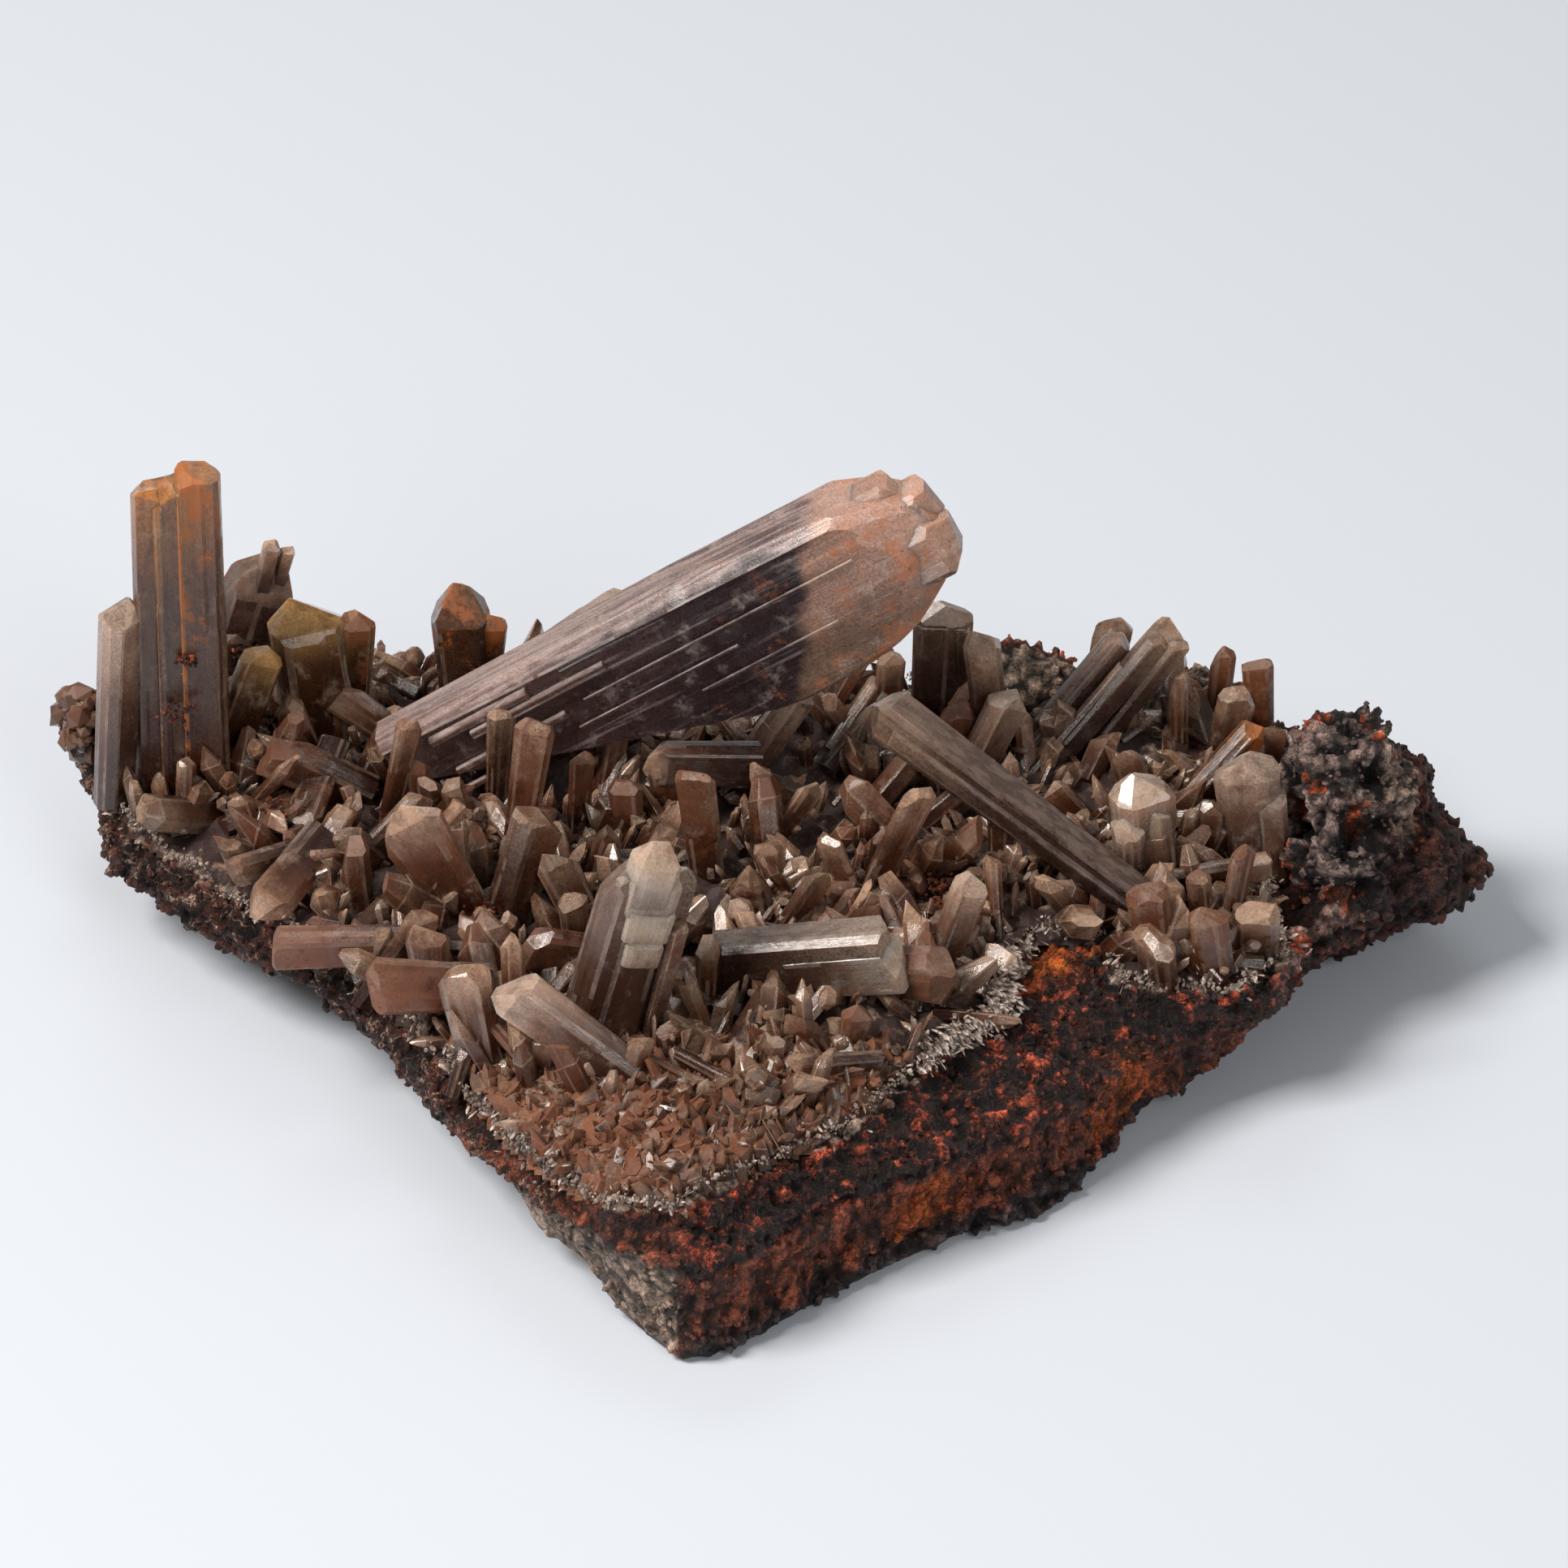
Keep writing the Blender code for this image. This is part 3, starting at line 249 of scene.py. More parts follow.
CRUST_EDGE, CRUST_TOP, CRUST_SLOPE_WIDTH = 10.9, 12.2, 6.0


# Noise that repeats from run to run


def hashed(cells: Rows, seed: int) -> Rows:
    """Repeatable value from 0 to 1 for each whole-numbered cell.

    Args:
        cells: Rows of three whole numbers.
        seed: Which of the value sets to draw from.

    Returns:
        One value for each row.
    """
    mixed = cells.astype(np.int64) @ np.array([73856093, 19349663, 83492791]) + seed * 7919
    mixed = (mixed ^ (mixed >> 13)) * 1274126177
    mixed = (mixed ^ (mixed >> 16)) * 668265263
    return ((mixed ^ (mixed >> 15)) & 0xFFFFFF) / float(0xFFFFFF)


def smooth_noise(points: Rows, seed: int) -> Rows:
    """Rolling noise from -1 to 1.

    Args:
        points: Rows of three coordinates, one wave a unit.
        seed: Which pattern to use.

    Returns:
        One value for each row.
    """
    base = np.floor(points)
    share = points - base
    share = share * share * (3.0 - 2.0 * share)
    total = np.zeros(len(points))
    for corner in itertools.product((0, 1), repeat=3):
        weight = np.prod(np.where(np.array(corner) == 1, share, 1.0 - share), axis=1)
        total += weight * hashed(base + np.array(corner), seed)
    return 2.0 * total - 1.0


def layered_noise(points: Rows, octaves: int, seed: int) -> Rows:
    """Noise with finer and finer waves on it.

    Args:
        points: Rows of three coordinates.
        octaves: How many layers to add.
        seed: Which pattern to use.

    Returns:
        One value for each row.
    """
    layers = [smooth_noise(points * 2.0**k + 31.7 * k, seed + k) * 0.5**k for k in range(octaves)]
    return np.sum(layers, axis=0)


def cell_distance(points: Rows, seed: int) -> Rows:
    """Distance from each point to the nearest of a set of scattered seeds, about one in each unit cell.

    Args:
        points: Rows of three coordinates.
        seed: Which pattern to use.

    Returns:
        One distance for each row.
    """
    base = np.floor(points)
    nearest = np.full(len(points), 9.0)
    for corner in itertools.product((-1, 0, 1), repeat=3):
        cell = base + np.array(corner)
        spot = cell + np.stack([hashed(cell, seed + k) for k in (11, 12, 13)], axis=1)
        nearest = np.minimum(nearest, np.linalg.norm(points - spot, axis=1))
    return nearest


# Meshes


def unit(values: Rows) -> Rows:
    """The values, kept from 0 to 1."""
    return np.clip(values, 0.0, 1.0)


def climb(values: Rows, start: float, width: float) -> Rows:
    """0 up to start and 1 from a width beyond it, straight between; a width below zero looks the other way."""
    return unit((values - start) / width)


def abreast(*parts: Rows | float) -> Rows:
    """Rows that hold one number from each part, where a part may be one number for all."""
    return np.stack(np.broadcast_arrays(*parts), axis=-1)


def read_points(mesh: bpy.types.Mesh) -> Rows:
    """Where a mesh's corners lie.

    Args:
        mesh: The mesh, in the part's frame.

    Returns:
        Rows of places in the drawing's millimetres.
    """
    points = np.empty(len(mesh.vertices) * 3)
    mesh.vertices.foreach_get("co", points)
    return points.reshape(-1, 3) / MM + ORIGIN


def write_points(mesh: bpy.types.Mesh, points: Rows) -> None:
    """Put a mesh's corners at places in the drawing's millimetres."""
    mesh.vertices.foreach_set("co", ((points - ORIGIN) * MM).astype(np.float32).ravel())


def write_values(mesh: bpy.types.Mesh, domain: str, values: dict[str, Rows]) -> None:
    """Give a mesh the values that its finish reads.

    Args:
        mesh: The mesh.
        domain: POINT for its corners, or FACE.
        values: Rows of three, by name.
    """
    for name, given in values.items():
        layer = mesh.attributes.new(name, "FLOAT_VECTOR", domain)
        layer.data.foreach_set("vector", given.astype(np.float32).ravel())


def placed(name: str, data: bpy.types.ID) -> Piece:
    """Put a mesh, a light or a camera in the scene.

    Args:
        name: The new object's name.
        data: What it holds.

    Returns:
        The object.
    """
    obj = bpy.data.objects.new(name, data)
    bpy.context.scene.collection.objects.link(obj)
    return obj


def stand_for(node: str) -> None:
    """Hide the solid from model.glb that a piece stands in for."""
    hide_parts(node)


@dataclass
class Gathering:
    """Gathers many bodies into one mesh, with the values that their finish reads.

    A crystal's corners carry crystal_space, their place in their own crystal in millimetres, and growth,
    which is how far along the crystal they lie, the crystal's tint and its rust. Its faces carry facet,
    which is a painted light and shade for the face, a share of frost that also paints pale highlights
    along edges and ridge steps, and 1 on the faces that end it.
    """

    name: str
    points: list[Rows] = field(default_factory=list)
    loops: list[Rows] = field(default_factory=list)
    totals: list[Rows] = field(default_factory=list)
    values: dict[str, dict[str, list[Rows]]] = field(default_factory=lambda: {"POINT": {}, "FACE": {}})
    count: int = 0

    def add(
        self, points: Rows, loops: Rows, totals: Rows, corner_values: dict[str, Rows], face_values: dict[str, Rows]
    ) -> None:
        """Add bodies.

        Args:
            points: Corners in the drawing's millimetres.
            loops: Corner numbers of the faces, one face after another.
            totals: How many corners each face has.
            corner_values: Rows of three for each corner, by name.
            face_values: Rows of three for each face, by name.
        """
        self.points.append(points)
        self.loops.append(loops + self.count)
        self.totals.append(totals)
        for domain, values in (("POINT", corner_values), ("FACE", face_values)):
            for name, given in values.items():
                self.values[domain].setdefault(name, []).append(given)
        self.count += len(points)

    def build(self, material: Material, smooth: float = 0.0) -> Piece:
        """Make the mesh object.

        Args:
            material: Its finish.
            smooth: Largest angle in degrees between faces that are shaded as one rounded surface.

        Returns:
            The object, in the part's frame.
        """
        loops = np.concatenate(self.loops).astype(np.int32)
        totals = np.concatenate(self.totals).astype(np.int32)
        mesh = bpy.data.meshes.new(self.name)
        mesh.vertices.add(self.count)
        write_points(mesh, np.concatenate(self.points))
        mesh.loops.add(len(loops))
        mesh.loops.foreach_set("vertex_index", loops)
        mesh.polygons.add(len(totals))
        mesh.polygons.foreach_set("loop_start", np.concatenate([[0], np.cumsum(totals)[:-1]]).astype(np.int32))
        mesh.polygons.foreach_set("use_smooth", np.full(len(totals), smooth > 0.0))
        for domain, values in self.values.items():
            write_values(mesh, domain, {name: np.concatenate(given) for name, given in values.items()})
        mesh.update(calc_edges=True)
        if smooth:
            mesh.set_sharp_from_angle(angle=math.radians(smooth))
        mesh.materials.append(material)
        return placed(self.name, mesh)


def prism_frame(prism: Prism) -> Rows:
    """The prism's place: local Z along its length and local X across its width.

    Args:
        prism: The crystal.

    Returns:
        A 4 by 4 matrix.
    """
    turn = Matrix.Rotation(math.radians(prism.heading), 4, "Z")
    lean = Matrix.Rotation(math.radians(90.0 - prism.rise), 4, "Y")
    roll = Matrix.Rotation(math.radians(prism.roll), 4, "Z")
    return np.array(Matrix.Translation(Vector(prism.foot)) @ turn @ lean @ roll)


def rooted(prism: Prism, depth: float) -> Prism:
    """The same prism with its foot further back along it, so that it stands in the ground."""
    foot = prism_frame(prism) @ np.array([0.0, 0.0, -depth, 1.0])
    return prism._replace(foot=tuple(foot[:3]), length=prism.length + depth)


FULL_WIDTH = 0.93  # share of a prism's length where it reaches its full width
OVERSHOOT = 1.02  # how far it is drawn, as a share of its length, before its end is cut
STEP = 0.35  # height of the slope where a ridge ends, in millimetres
SUNK = 0.9  # share of the ridge depth that is lost there


@dataclass(frozen=True)
class Carving:
    """How finely a crystal's sides and end are cut."""

    around: int = 24  # points round the section
    cuts: int = 3  # levels where ridges may end
    ridge_depth: float = 0.05  # share of the half width
    step_share: float = 0.35  # share of the ridges that end part of the way up
    bands: tuple[int, int] = (2, 6)  # how many points wide a ridge may be
    chips: int = 2  # corners cut off the end
    side: float = 0.42  # share of the thickness that the narrow faces take
    face: float = 0.58  # share of the width that the broad faces take
    frost: float = 0.25  # share of the ridges whose step sides are painted pale, as highlights along the ridge steps
    top_frost_and_light: float = 0.0  # how pale the narrow face that looks along -X, the upper one, is painted: partly frost, partly painted light from above
    banding: float = 0.35  # how much the painted facet light and shade change from ridge to ridge


GREAT_CARVING = Carving(130, 12, 0.014, 0.4, (3, 12), 0, 0.6, 0.84, 0.08, 0.3, 0.12)
LARGE_CARVING = Carving(40, 4, 0.04, 0.4, (2, 9), 6, 0.36, 0.7)
FROST_AND_TOP_LIGHT_CARVING = Carving(40, 3, 0.02, 0.3, (4, 12), 3, 0.6, 0.8, 0.2, 0.5, 0.2)
SMOOTH_CARVING = Carving(36, 2, 0.012, 0.15, (6, 16), 5, 0.3, 0.74, 0.1, banding=0.08)
# its upper narrow face is painted wholly pale, as painted light on the face turned up
LIT_CARVING = Carving(36, 2, 0.01, 0.1, (6, 16), 3, 0.8, 0.7, 0.0, 1.0, 0.08)
CRACKED_CARVING = Carving(30, 3, 0.06, 0.5, (2, 7), 16, 0.45, 0.6, 0.4)
SMALL_CARVING = Carving(22, 2, 0.04, 0.3, (3, 9), 11, 0.36, 0.64, 0.18, banding=0.3)
PLATE_CARVING = Carving(16, 1, 0.02, 0.1, (3, 6), 0, 0.7, 0.8)
BLADE_CARVING = Carving(16, 1, 0.02, 0.1, (3, 6), 0, 0.7, 0.8, 1.0, 1.0)


def section_walk(half_width: float, half_thickness: float, carving: Carving) -> tuple[Rows, ...]:
    """Points evenly spaced round the eight-sided section, with their outward directions.

    Args:
        half_width: Half the section's size along X.
        half_thickness: Half its size along Y.
        carving: How finely it is cut.

    Returns:
        The points, the directions, and which of the eight sides each point lies on.
    """
    k, m = carving.side, carving.face
    corners = np.array([(1, -k), (1, k), (m, 1), (-m, 1), (-1, k), (-1, -k), (-m, -1), (m, -1)])
    corners = corners * (half_width, half_thickness)
    after = np.roll(corners, -1, axis=0)
    sides = np.linalg.norm(after - corners, axis=1)
    starts = np.concatenate([[0.0], np.cumsum(sides)])
    spots = np.arange(carving.around) * starts[-1] / carving.around
    index = np.searchsorted(starts, spots, side="right") - 1
    share = ((spots - starts[index]) / sides[index])[:, None]
    points = corners[index] * (1.0 - share) + after[index] * share
    along = (after[index] - corners[index]) / sides[index][:, None]
    return points, np.stack([along[:, 1], -along[:, 0]], axis=1), index


def tip_planes(prism: Prism) -> list[Plane]:
    """The faces that end the prism, each a point and an outward direction in its own frame.

    Args:
        prism: The crystal.

    Returns:
        The faces.
    """
    half_width, half_thickness = prism.width / 2, prism.flat * prism.width / 2
    shoulder = prism.length - prism.tip.height * prism.width
    drop = prism.tip.slant * prism.width
    edge = prism.tip.edge
    heights = {1.0: prism.length - max(0.0, -drop), -1.0: prism.length - max(0.0, drop)}
    planes = []
    for side, end in heights.items():
        rise = max(0.05, end - shoulder)
        planes.append(((side * half_width, 0.0, shoulder), (side * rise, 0.0, half_width * (1.0 - edge) + 1e-3)))
    for side in (1.0, -1.0):
        rise = prism.length - shoulder
        inward = half_thickness * (1.0 - 0.35 * edge)
        planes.append(((0.0, side * half_thickness, shoulder), (0.0, side * rise, inward)))
    slope = (heights[-1.0] - heights[1.0]) / max(0.1, 2.0 * half_width * edge)
    planes.append(((half_width * edge, 0.0, heights[1.0]), (slope, 0.0, 1.0)))
    return planes


def chip_planes(prism: Prism, count: int, rng: Chance) -> list[Plane]:
    """Small random faces that cut corners off the end.

    Args:
        prism: The crystal.
        count: How many.
        rng: The source of chance.

    Returns:
        The faces, as in tip_planes.
    """
    planes = []
    for _ in range(count):
        angle = rng.uniform(0.0, 2.0 * math.pi)
        way = np.array([math.cos(angle), math.sin(angle) * 0.8])
        reach = 0.5 * prism.width * rng.uniform(0.45, 0.8) * way * (1.0, prism.flat)
        height = prism.length - prism.tip.height * prism.width * rng.uniform(0.2, 0.8)
        planes.append(((*reach, height), (*way, rng.uniform(0.5, 1.6))))
    return planes


@dataclass(frozen=True)
class Outline:
    """The side view of a crystal whose striae run straight while its edges are cut aslant.

    Corners go round the view from the foot along +X to the end and back along -X, each with its height and
    its place across. The foot's thickness is a share of the end's.
    """

    corners: tuple[tuple[float, float], ...]
    foot_thickness: float = 0.5
    bevels: tuple[Plane, ...] = ()  # further planes that cut its faces aslant
    dome_centre: Place = (-0.7, 0.0, 33.0)
    dome_radii: Place = (7.6, 3.75, 10.0)
    dome_tilts: tuple[float, ...] = (14.0, 30.0, 46.0, 62.0)

    def dome(self) -> list[Plane]:
        """Planes that touch an egg round the end, so that the end is softly rounded.

        Returns:
            The planes.
        """
        centre, radii = np.array(self.dome_centre), np.array(self.dome_radii)
        planes = []
        for tilt, turn in itertools.product(np.radians(self.dome_tilts), np.radians(np.arange(15.0, 375.0, 40.0))):
            way = np.array([math.sin(tilt) * math.cos(turn), math.sin(tilt) * math.sin(turn), math.cos(tilt)])
            planes.append((tuple(centre + way * radii), tuple(way / radii)))
        return planes

    def planes(self) -> list[Plane]:
        """The planes that cut the crystal to its outline.

        Returns:
            The planes, each a point and an outward direction.
        """
        pairs = zip(self.corners, self.corners[1:])
        edges = [((ax, 0.0, az), (bz - az, 0.0, ax - bx)) for (az, ax), (bz, bx) in pairs]
        return edges + list(self.bevels) + self.dome()


class Carved(NamedTuple):
    """One crystal in its own frame: its corners and its faces with their painted light and shade, and their frost and
    painted highlights.
    """

    points: Rows
    loops: Rows
    totals: Rows
    facets: Rows


def carve(prism: Prism, carving: Carving, rng: Chance, outline: Outline | None = None) -> Carved:
    """One striated crystal: ridged sides, some ridges ending in steps, and a cut end.

    Args:
        prism: The crystal.
        carving: How finely it is cut.
        rng: The source of chance.
        outline: How its section changes, or None for a prism that widens evenly from its waist.

    Returns:
        The crystal.
    """
    walk, outward, side = section_walk(prism.width / 2, prism.flat * prism.width / 2, carving)
    waist = 1.0 if outline else prism.waist
    thinnest = outline.foot_thickness if outline else prism.waist
    owner = np.repeat(np.arange(carving.around), rng.integers(*carving.bands, carving.around))[: carving.around]
    groups = owner.max() + 1
    depth = carving.ridge_depth * prism.width / 2
    base = rng.uniform(0.0, 1.0, groups) ** 1.5 * depth
    cuts = np.sort(rng.uniform(0.1, 0.97, carving.cuts))
    lowest = -prism.root / prism.length
    levels = np.unique(np.clip([lowest, OVERSHOOT, *cuts, *(cuts + STEP / prism.length)], lowest, OVERSHOOT))
    ends = np.where(rng.uniform(size=groups) < carving.step_share, rng.choice(cuts, groups), 2.0)
    frost_and_highlight = rng.uniform(size=groups) < carving.frost
    banding = carving.banding
    # painted light and shade of each face: mostly one for each of the eight sides, and a little for each ridge
    painted_facet_light = (1.0 - banding) * rng.uniform(0.0, 1.0, 8)[side] + banding * rng.uniform(0.0, 1.0, groups)[owner]
    # the narrow face along -X, the upper one, is painted pale: partly frost, partly painted light from above
    edge_side, upper_side = outward[:, 0] < -0.95, (outward[:, 0] < -0.3) * (outward[:, 1] < 0.0)
    top_frost_and_light = carving.top_frost_and_light * (edge_side + 0.5 * upper_side * frost_and_highlight[owner])
    bm = bmesh.new()
    facet = bm.faces.layers.float_vector.new("facet")
    rings = []
    for level in levels:
        grown = min(1.0, max(0.0, level) / FULL_WIDTH)
        across, through = waist + (1.0 - waist) * grown, thinnest + (1.0 - thinnest) * grown
        sunk = base + np.where(level > ends, depth * SUNK, 0.0)
        spots = walk * (across, through) - outward * (sunk[owner] * max(0.5, through))[:, None]
        rings.append([bm.verts.new((x, y, level * prism.length)) for x, y in spots])
    for lower, upper in zip(rings, rings[1:]):
        for k in range(carving.around):
            after = (k + 1) % carving.around
            face = bm.faces.new((lower[k], lower[after], upper[after], upper[k]))
            # ridge steps of some ridges and the edges between sides are painted pale, as highlights; the narrow upper
            # face is painted pale too
            riser = owner[k] != owner[after] and frost_and_highlight[owner[k]]
            edge_highlight = side[k] != side[after] and rng.uniform() < 0.7
            face[facet] = (painted_facet_light[k], max(0.9 * riser, 0.7 * edge_highlight, top_frost_and_light[k]), 0.0)
    bm.faces.new(rings[0][::-1])
    bm.faces.new(rings[-1])
    ending = outline.planes() if outline else tip_planes(prism)
    for spot, way in ending + chip_planes(prism, carving.chips, rng):
        geometry = bm.verts[:] + bm.edges[:] + bm.faces[:]
        cut = bmesh.ops.bisect_plane(bm, geom=geometry, plane_co=spot, plane_no=way, clear_outer=True)
        edges = [item for item in cut["geom_cut"] if isinstance(item, bmesh.types.BMEdge)]
        if edges:
            for face in bmesh.ops.holes_fill(bm, edges=edges, sides=0)["faces"]:
                # cut faces get a painted light and shade, even on an outline and random otherwise, and some of them
                # frost
                patch = (0.62, 0.0) if outline else (rng.uniform(0.3, 1.0), 0.6 * float(rng.uniform() < 0.3))
                face[facet] = (*patch, 1.0)
    bm.verts.index_update()
    carved = Carved(
        np.array([vert.co[:] for vert in bm.verts]),
        np.array([vert.index for face in bm.faces for vert in face.verts]),
        np.array([len(face.verts) for face in bm.faces]),
        np.array([face[facet][:] for face in bm.faces]),
    )
    bm.free()
    return carved


FAR = 90.0  # crystals read their patterns up to this many millimetres apart, so that no two are alike


@dataclass(frozen=True)
class Habit:
    """A crystal's own tint and rust, and how its colour zones slope across it."""

    tint: float = 0.5
    rust: float = 0.2
    zone_slope: float = 0.0
    lift: float = 0.0  # how much further up its colour zones it starts


@dataclass
class Grower:
    """Carves crystals and adds them to one mesh."""

    gathering: Gathering
    rng: Chance
    zoned_on: Prism | None = None  # the crystal whose colour zones all of them share

    def add(self, prism: Prism, carving: Carving, habit: Habit, outline: Outline | None = None) -> None:
        """Carve a crystal and add it in place.

        Args:
            prism: The crystal.
            carving: How finely it is cut.
            habit: Its tint and rust.
            outline: How its section changes, or None.
        """
        carved = carve(prism, carving, self.rng, outline)
        place = prism_frame(prism)
        world = carved.points @ place[:3, :3].T + place[:3, 3]
        host = self.zoned_on or prism
        back = np.linalg.inv(prism_frame(host))
        local = world @ back[:3, :3].T + back[:3, 3]
        share = local[:, 2] / host.length + habit.zone_slope * local[:, 0] / host.width + habit.lift
        space = local if self.zoned_on else carved.points + self.rng.uniform(0.0, FAR, 3)
        values = {"crystal_space": space, "growth": abreast(share, habit.tint, habit.rust)}
        self.gathering.add(world, carved.loops, carved.totals, values, {"facet": carved.facets})


class Inset(NamedTuple):
    """A prism given in another crystal's own frame, with that crystal's direction."""

    across: float
    through: float
    top: float
    length: float
    width: float
    flat: float = 1.0
    tip: Tip = Tip(0.9, 0.12)

    def on(self, host: Prism) -> Prism:
        """The prism in the drawing's frame.

        Args:
            host: The crystal that it lies in.

        Returns:
            The prism.
        """
        foot = prism_frame(host) @ np.array([self.across, self.through, self.top - self.length, 1.0])
        place, width = tuple(foot[:3]), self.width
        return Prism(place, host.heading, host.rise, self.length, width, self.flat, host.roll, self.tip, 0.95, 0.2)


# Small crystals made many at a time


@dataclass(frozen=True)
class Swarm:
    """Sizes and lie of small crystals that are made many at a time."""

    count: int
    lengths: tuple[float, float]
    widths: tuple[float, float]
    rises: tuple[float, float]
    sink: float = 0.5
    flats: tuple[float, float] = (0.5, 1.0)
    edges: tuple[float, float] = (0.1, 0.8)
    edge_highlight: bool = False  # whether their edges are chamfered to narrow faces that are painted pale, as highlights


HEXAGON = np.array([(1.0, 0.0), (0.52, 1.0), (-0.52, 1.0), (-1.0, 0.0), (-0.52, -1.0), (0.52, -1.0)])
EDGE_CHAMFER = 0.09  # share of a side that the chamfered edge takes at each end
CHAMFERED = np.concatenate([
    (c * (1.0 - EDGE_CHAMFER) + b * EDGE_CHAMFER, c * (1.0 - EDGE_CHAMFER) + a * EDGE_CHAMFER)
    for b, c, a in zip(np.roll(HEXAGON, 1, axis=0), HEXAGON, np.roll(HEXAGON, -1, axis=0))
])


def add_swarm(
    gathering: Gathering,
    feet: Rows,
    swarm: Swarm,
    rust: Rows,
    rng: Chance,
    headings: Rows | None = None,
    tints: Rows | None = None,
) -> None:
    """Add one small six-sided crystal at each foot.

    Args:
        gathering: The mesh that they join.
        feet: Rows of places.
        swarm: Their sizes.
        rust: Each crystal's rust.
        rng: The source of chance.
        headings: The way each one points in plan, in radians, or None for any way.
        tints: How pale each one is, from 0 to 1, or None for any.
    """
    count = len(feet)
    heading = rng.uniform(0.0, 2.0 * math.pi, count) if headings is None else headings
    rise = np.radians(rng.uniform(*swarm.rises, count))
    axis = abreast(np.cos(heading) * np.cos(rise), np.sin(heading) * np.cos(rise), np.sin(rise))
    guess = rng.normal(size=(count, 3))
    side = np.cross(axis, guess)
    side /= np.linalg.norm(side, axis=1)[:, None]
    other = np.cross(axis, side)
    length = rng.uniform(*swarm.lengths, count) * rng.uniform(0.7, 1.0, count)
    half = rng.uniform(*swarm.widths, count) / 2
    thick = half * rng.uniform(*swarm.flats, count)
    edge_x = rng.uniform(*swarm.edges, count)[:, None]
    edge_y = rng.uniform(0.08, 0.6, count)[:, None]
    section = CHAMFERED if swarm.edge_highlight else HEXAGON
    sides = len(section)
    x, y = half[:, None] * section[:, 0], thick[:, None] * section[:, 1]
    jitter = np.repeat(rng.uniform(0.86, 1.08, (count, 6)), sides // 6, axis=1)
    drop = np.repeat(rng.uniform(-0.35, 0.25, (count, 6)), sides // 6, axis=1)
    tip_height = half * rng.uniform(0.5, 1.6, count)
    shoulder = (length - tip_height)[:, None] + drop * half[:, None]
    top = length[:, None] + rng.uniform(-0.8, 0.8, (count, 1)) * x
    low = np.repeat(-swarm.sink * half[:, None] * 2, sides, axis=1)
    rings = [(x * 0.9, y * 0.9, low), (x * jitter, y * jitter, shoulder)]
    if swarm.edge_highlight:
        inward, lift = 1.0 - 0.9 * EDGE_CHAMFER, shoulder + 0.1 * half[:, None]
        rings.append((x * jitter * inward, y * jitter * inward, lift))
    rings.append((x * edge_x, y * edge_y, top))
    local = abreast(*(np.concatenate(parts, axis=1) for parts in zip(*rings)))
    basis = np.stack([side, other, axis], axis=1)
    world = np.einsum("nij,njk->nik", local, basis) + feet[:, None, :]
    k = np.arange(sides)
    after = (k + 1) % sides
    bands = len(rings) - 1
    starts = sides * np.arange(bands)
    walls = [np.stack([k + s, after + s, after + s + sides, k + s + sides], axis=1).ravel() for s in starts]
    loops = np.concatenate([*walls, k[::-1], k + sides * bands])
    totals = np.array([4] * (sides * bands) + [sides, sides])
    each = sides * len(rings)
    all_loops = (loops[None, :] + each * np.arange(count)[:, None]).ravel()
    share = unit(local[:, :, 2] / length[:, None])
    paleness = rng.uniform(0.0, 1.0, count) if tints is None else tints
    growth = abreast(share, paleness[:, None], rust[:, None]).reshape(-1, 3)
    space = (local + rng.uniform(0.0, FAR, (count, 1, 3))).reshape(-1, 3)
    faces = len(totals)
    # painted light and shade for each face, and a few frosted faces
    shade = rng.uniform(0.0, 1.0, (count, faces))
    frost = (rng.uniform(size=(count, faces)) < 0.14) * 0.8
    # on chamfered crystals the chamfers and the band below the end are painted pale, as highlights
    if swarm.edge_highlight:
        edges = np.tile(np.arange(sides) % 2 == 0, bands)
        edges[sides : 2 * sides] = True
        wall_frost_and_highlight = frost[:, : len(edges)]
        wall_frost_and_highlight[:] = np.maximum(wall_frost_and_highlight, edges * rng.uniform(0.3, 1.0, wall_frost_and_highlight.shape))
    ends = np.ones(faces)
    ends[:sides] = 0.0
    facets = abreast(shade, frost, ends).reshape(-1, 3)
    values = {"crystal_space": space, "growth": growth}
    gathering.add(world.reshape(-1, 3), all_loops, np.tile(totals, count), values, {"facet": facets})


def icosahedron() -> tuple[Rows, Rows]:
    """The solid of twenty triangles.

    Returns:
        Its corners, one unit from its middle, and each face's corner numbers, outward.
    """
    golden = (1.0 + math.sqrt(5.0)) / 2.0
    ball = [(0.0, a, b * golden) for a in (-1, 1) for b in (-1, 1)]
    ball = np.array(ball + [(a, b, 0.0) for _, a, b in ball] + [(b, 0.0, a) for _, a, b in ball])
    ball = ball / np.linalg.norm(ball[0])
    gaps = np.linalg.norm(ball[:, None] - ball[None], axis=2)
    near = gaps < gaps[gaps > 0.1].min() * 1.1
    faces = []
    for a, b, c in itertools.combinations(range(len(ball)), 3):
        if near[a, b] and near[b, c] and near[a, c]:
            outward = np.dot(np.cross(ball[b] - ball[a], ball[c] - ball[a]), ball[a]) > 0
            faces.append((a, b, c) if outward else (c, b, a))
    return ball, np.array(faces)


BALL, BALL_FACES = icosahedron()


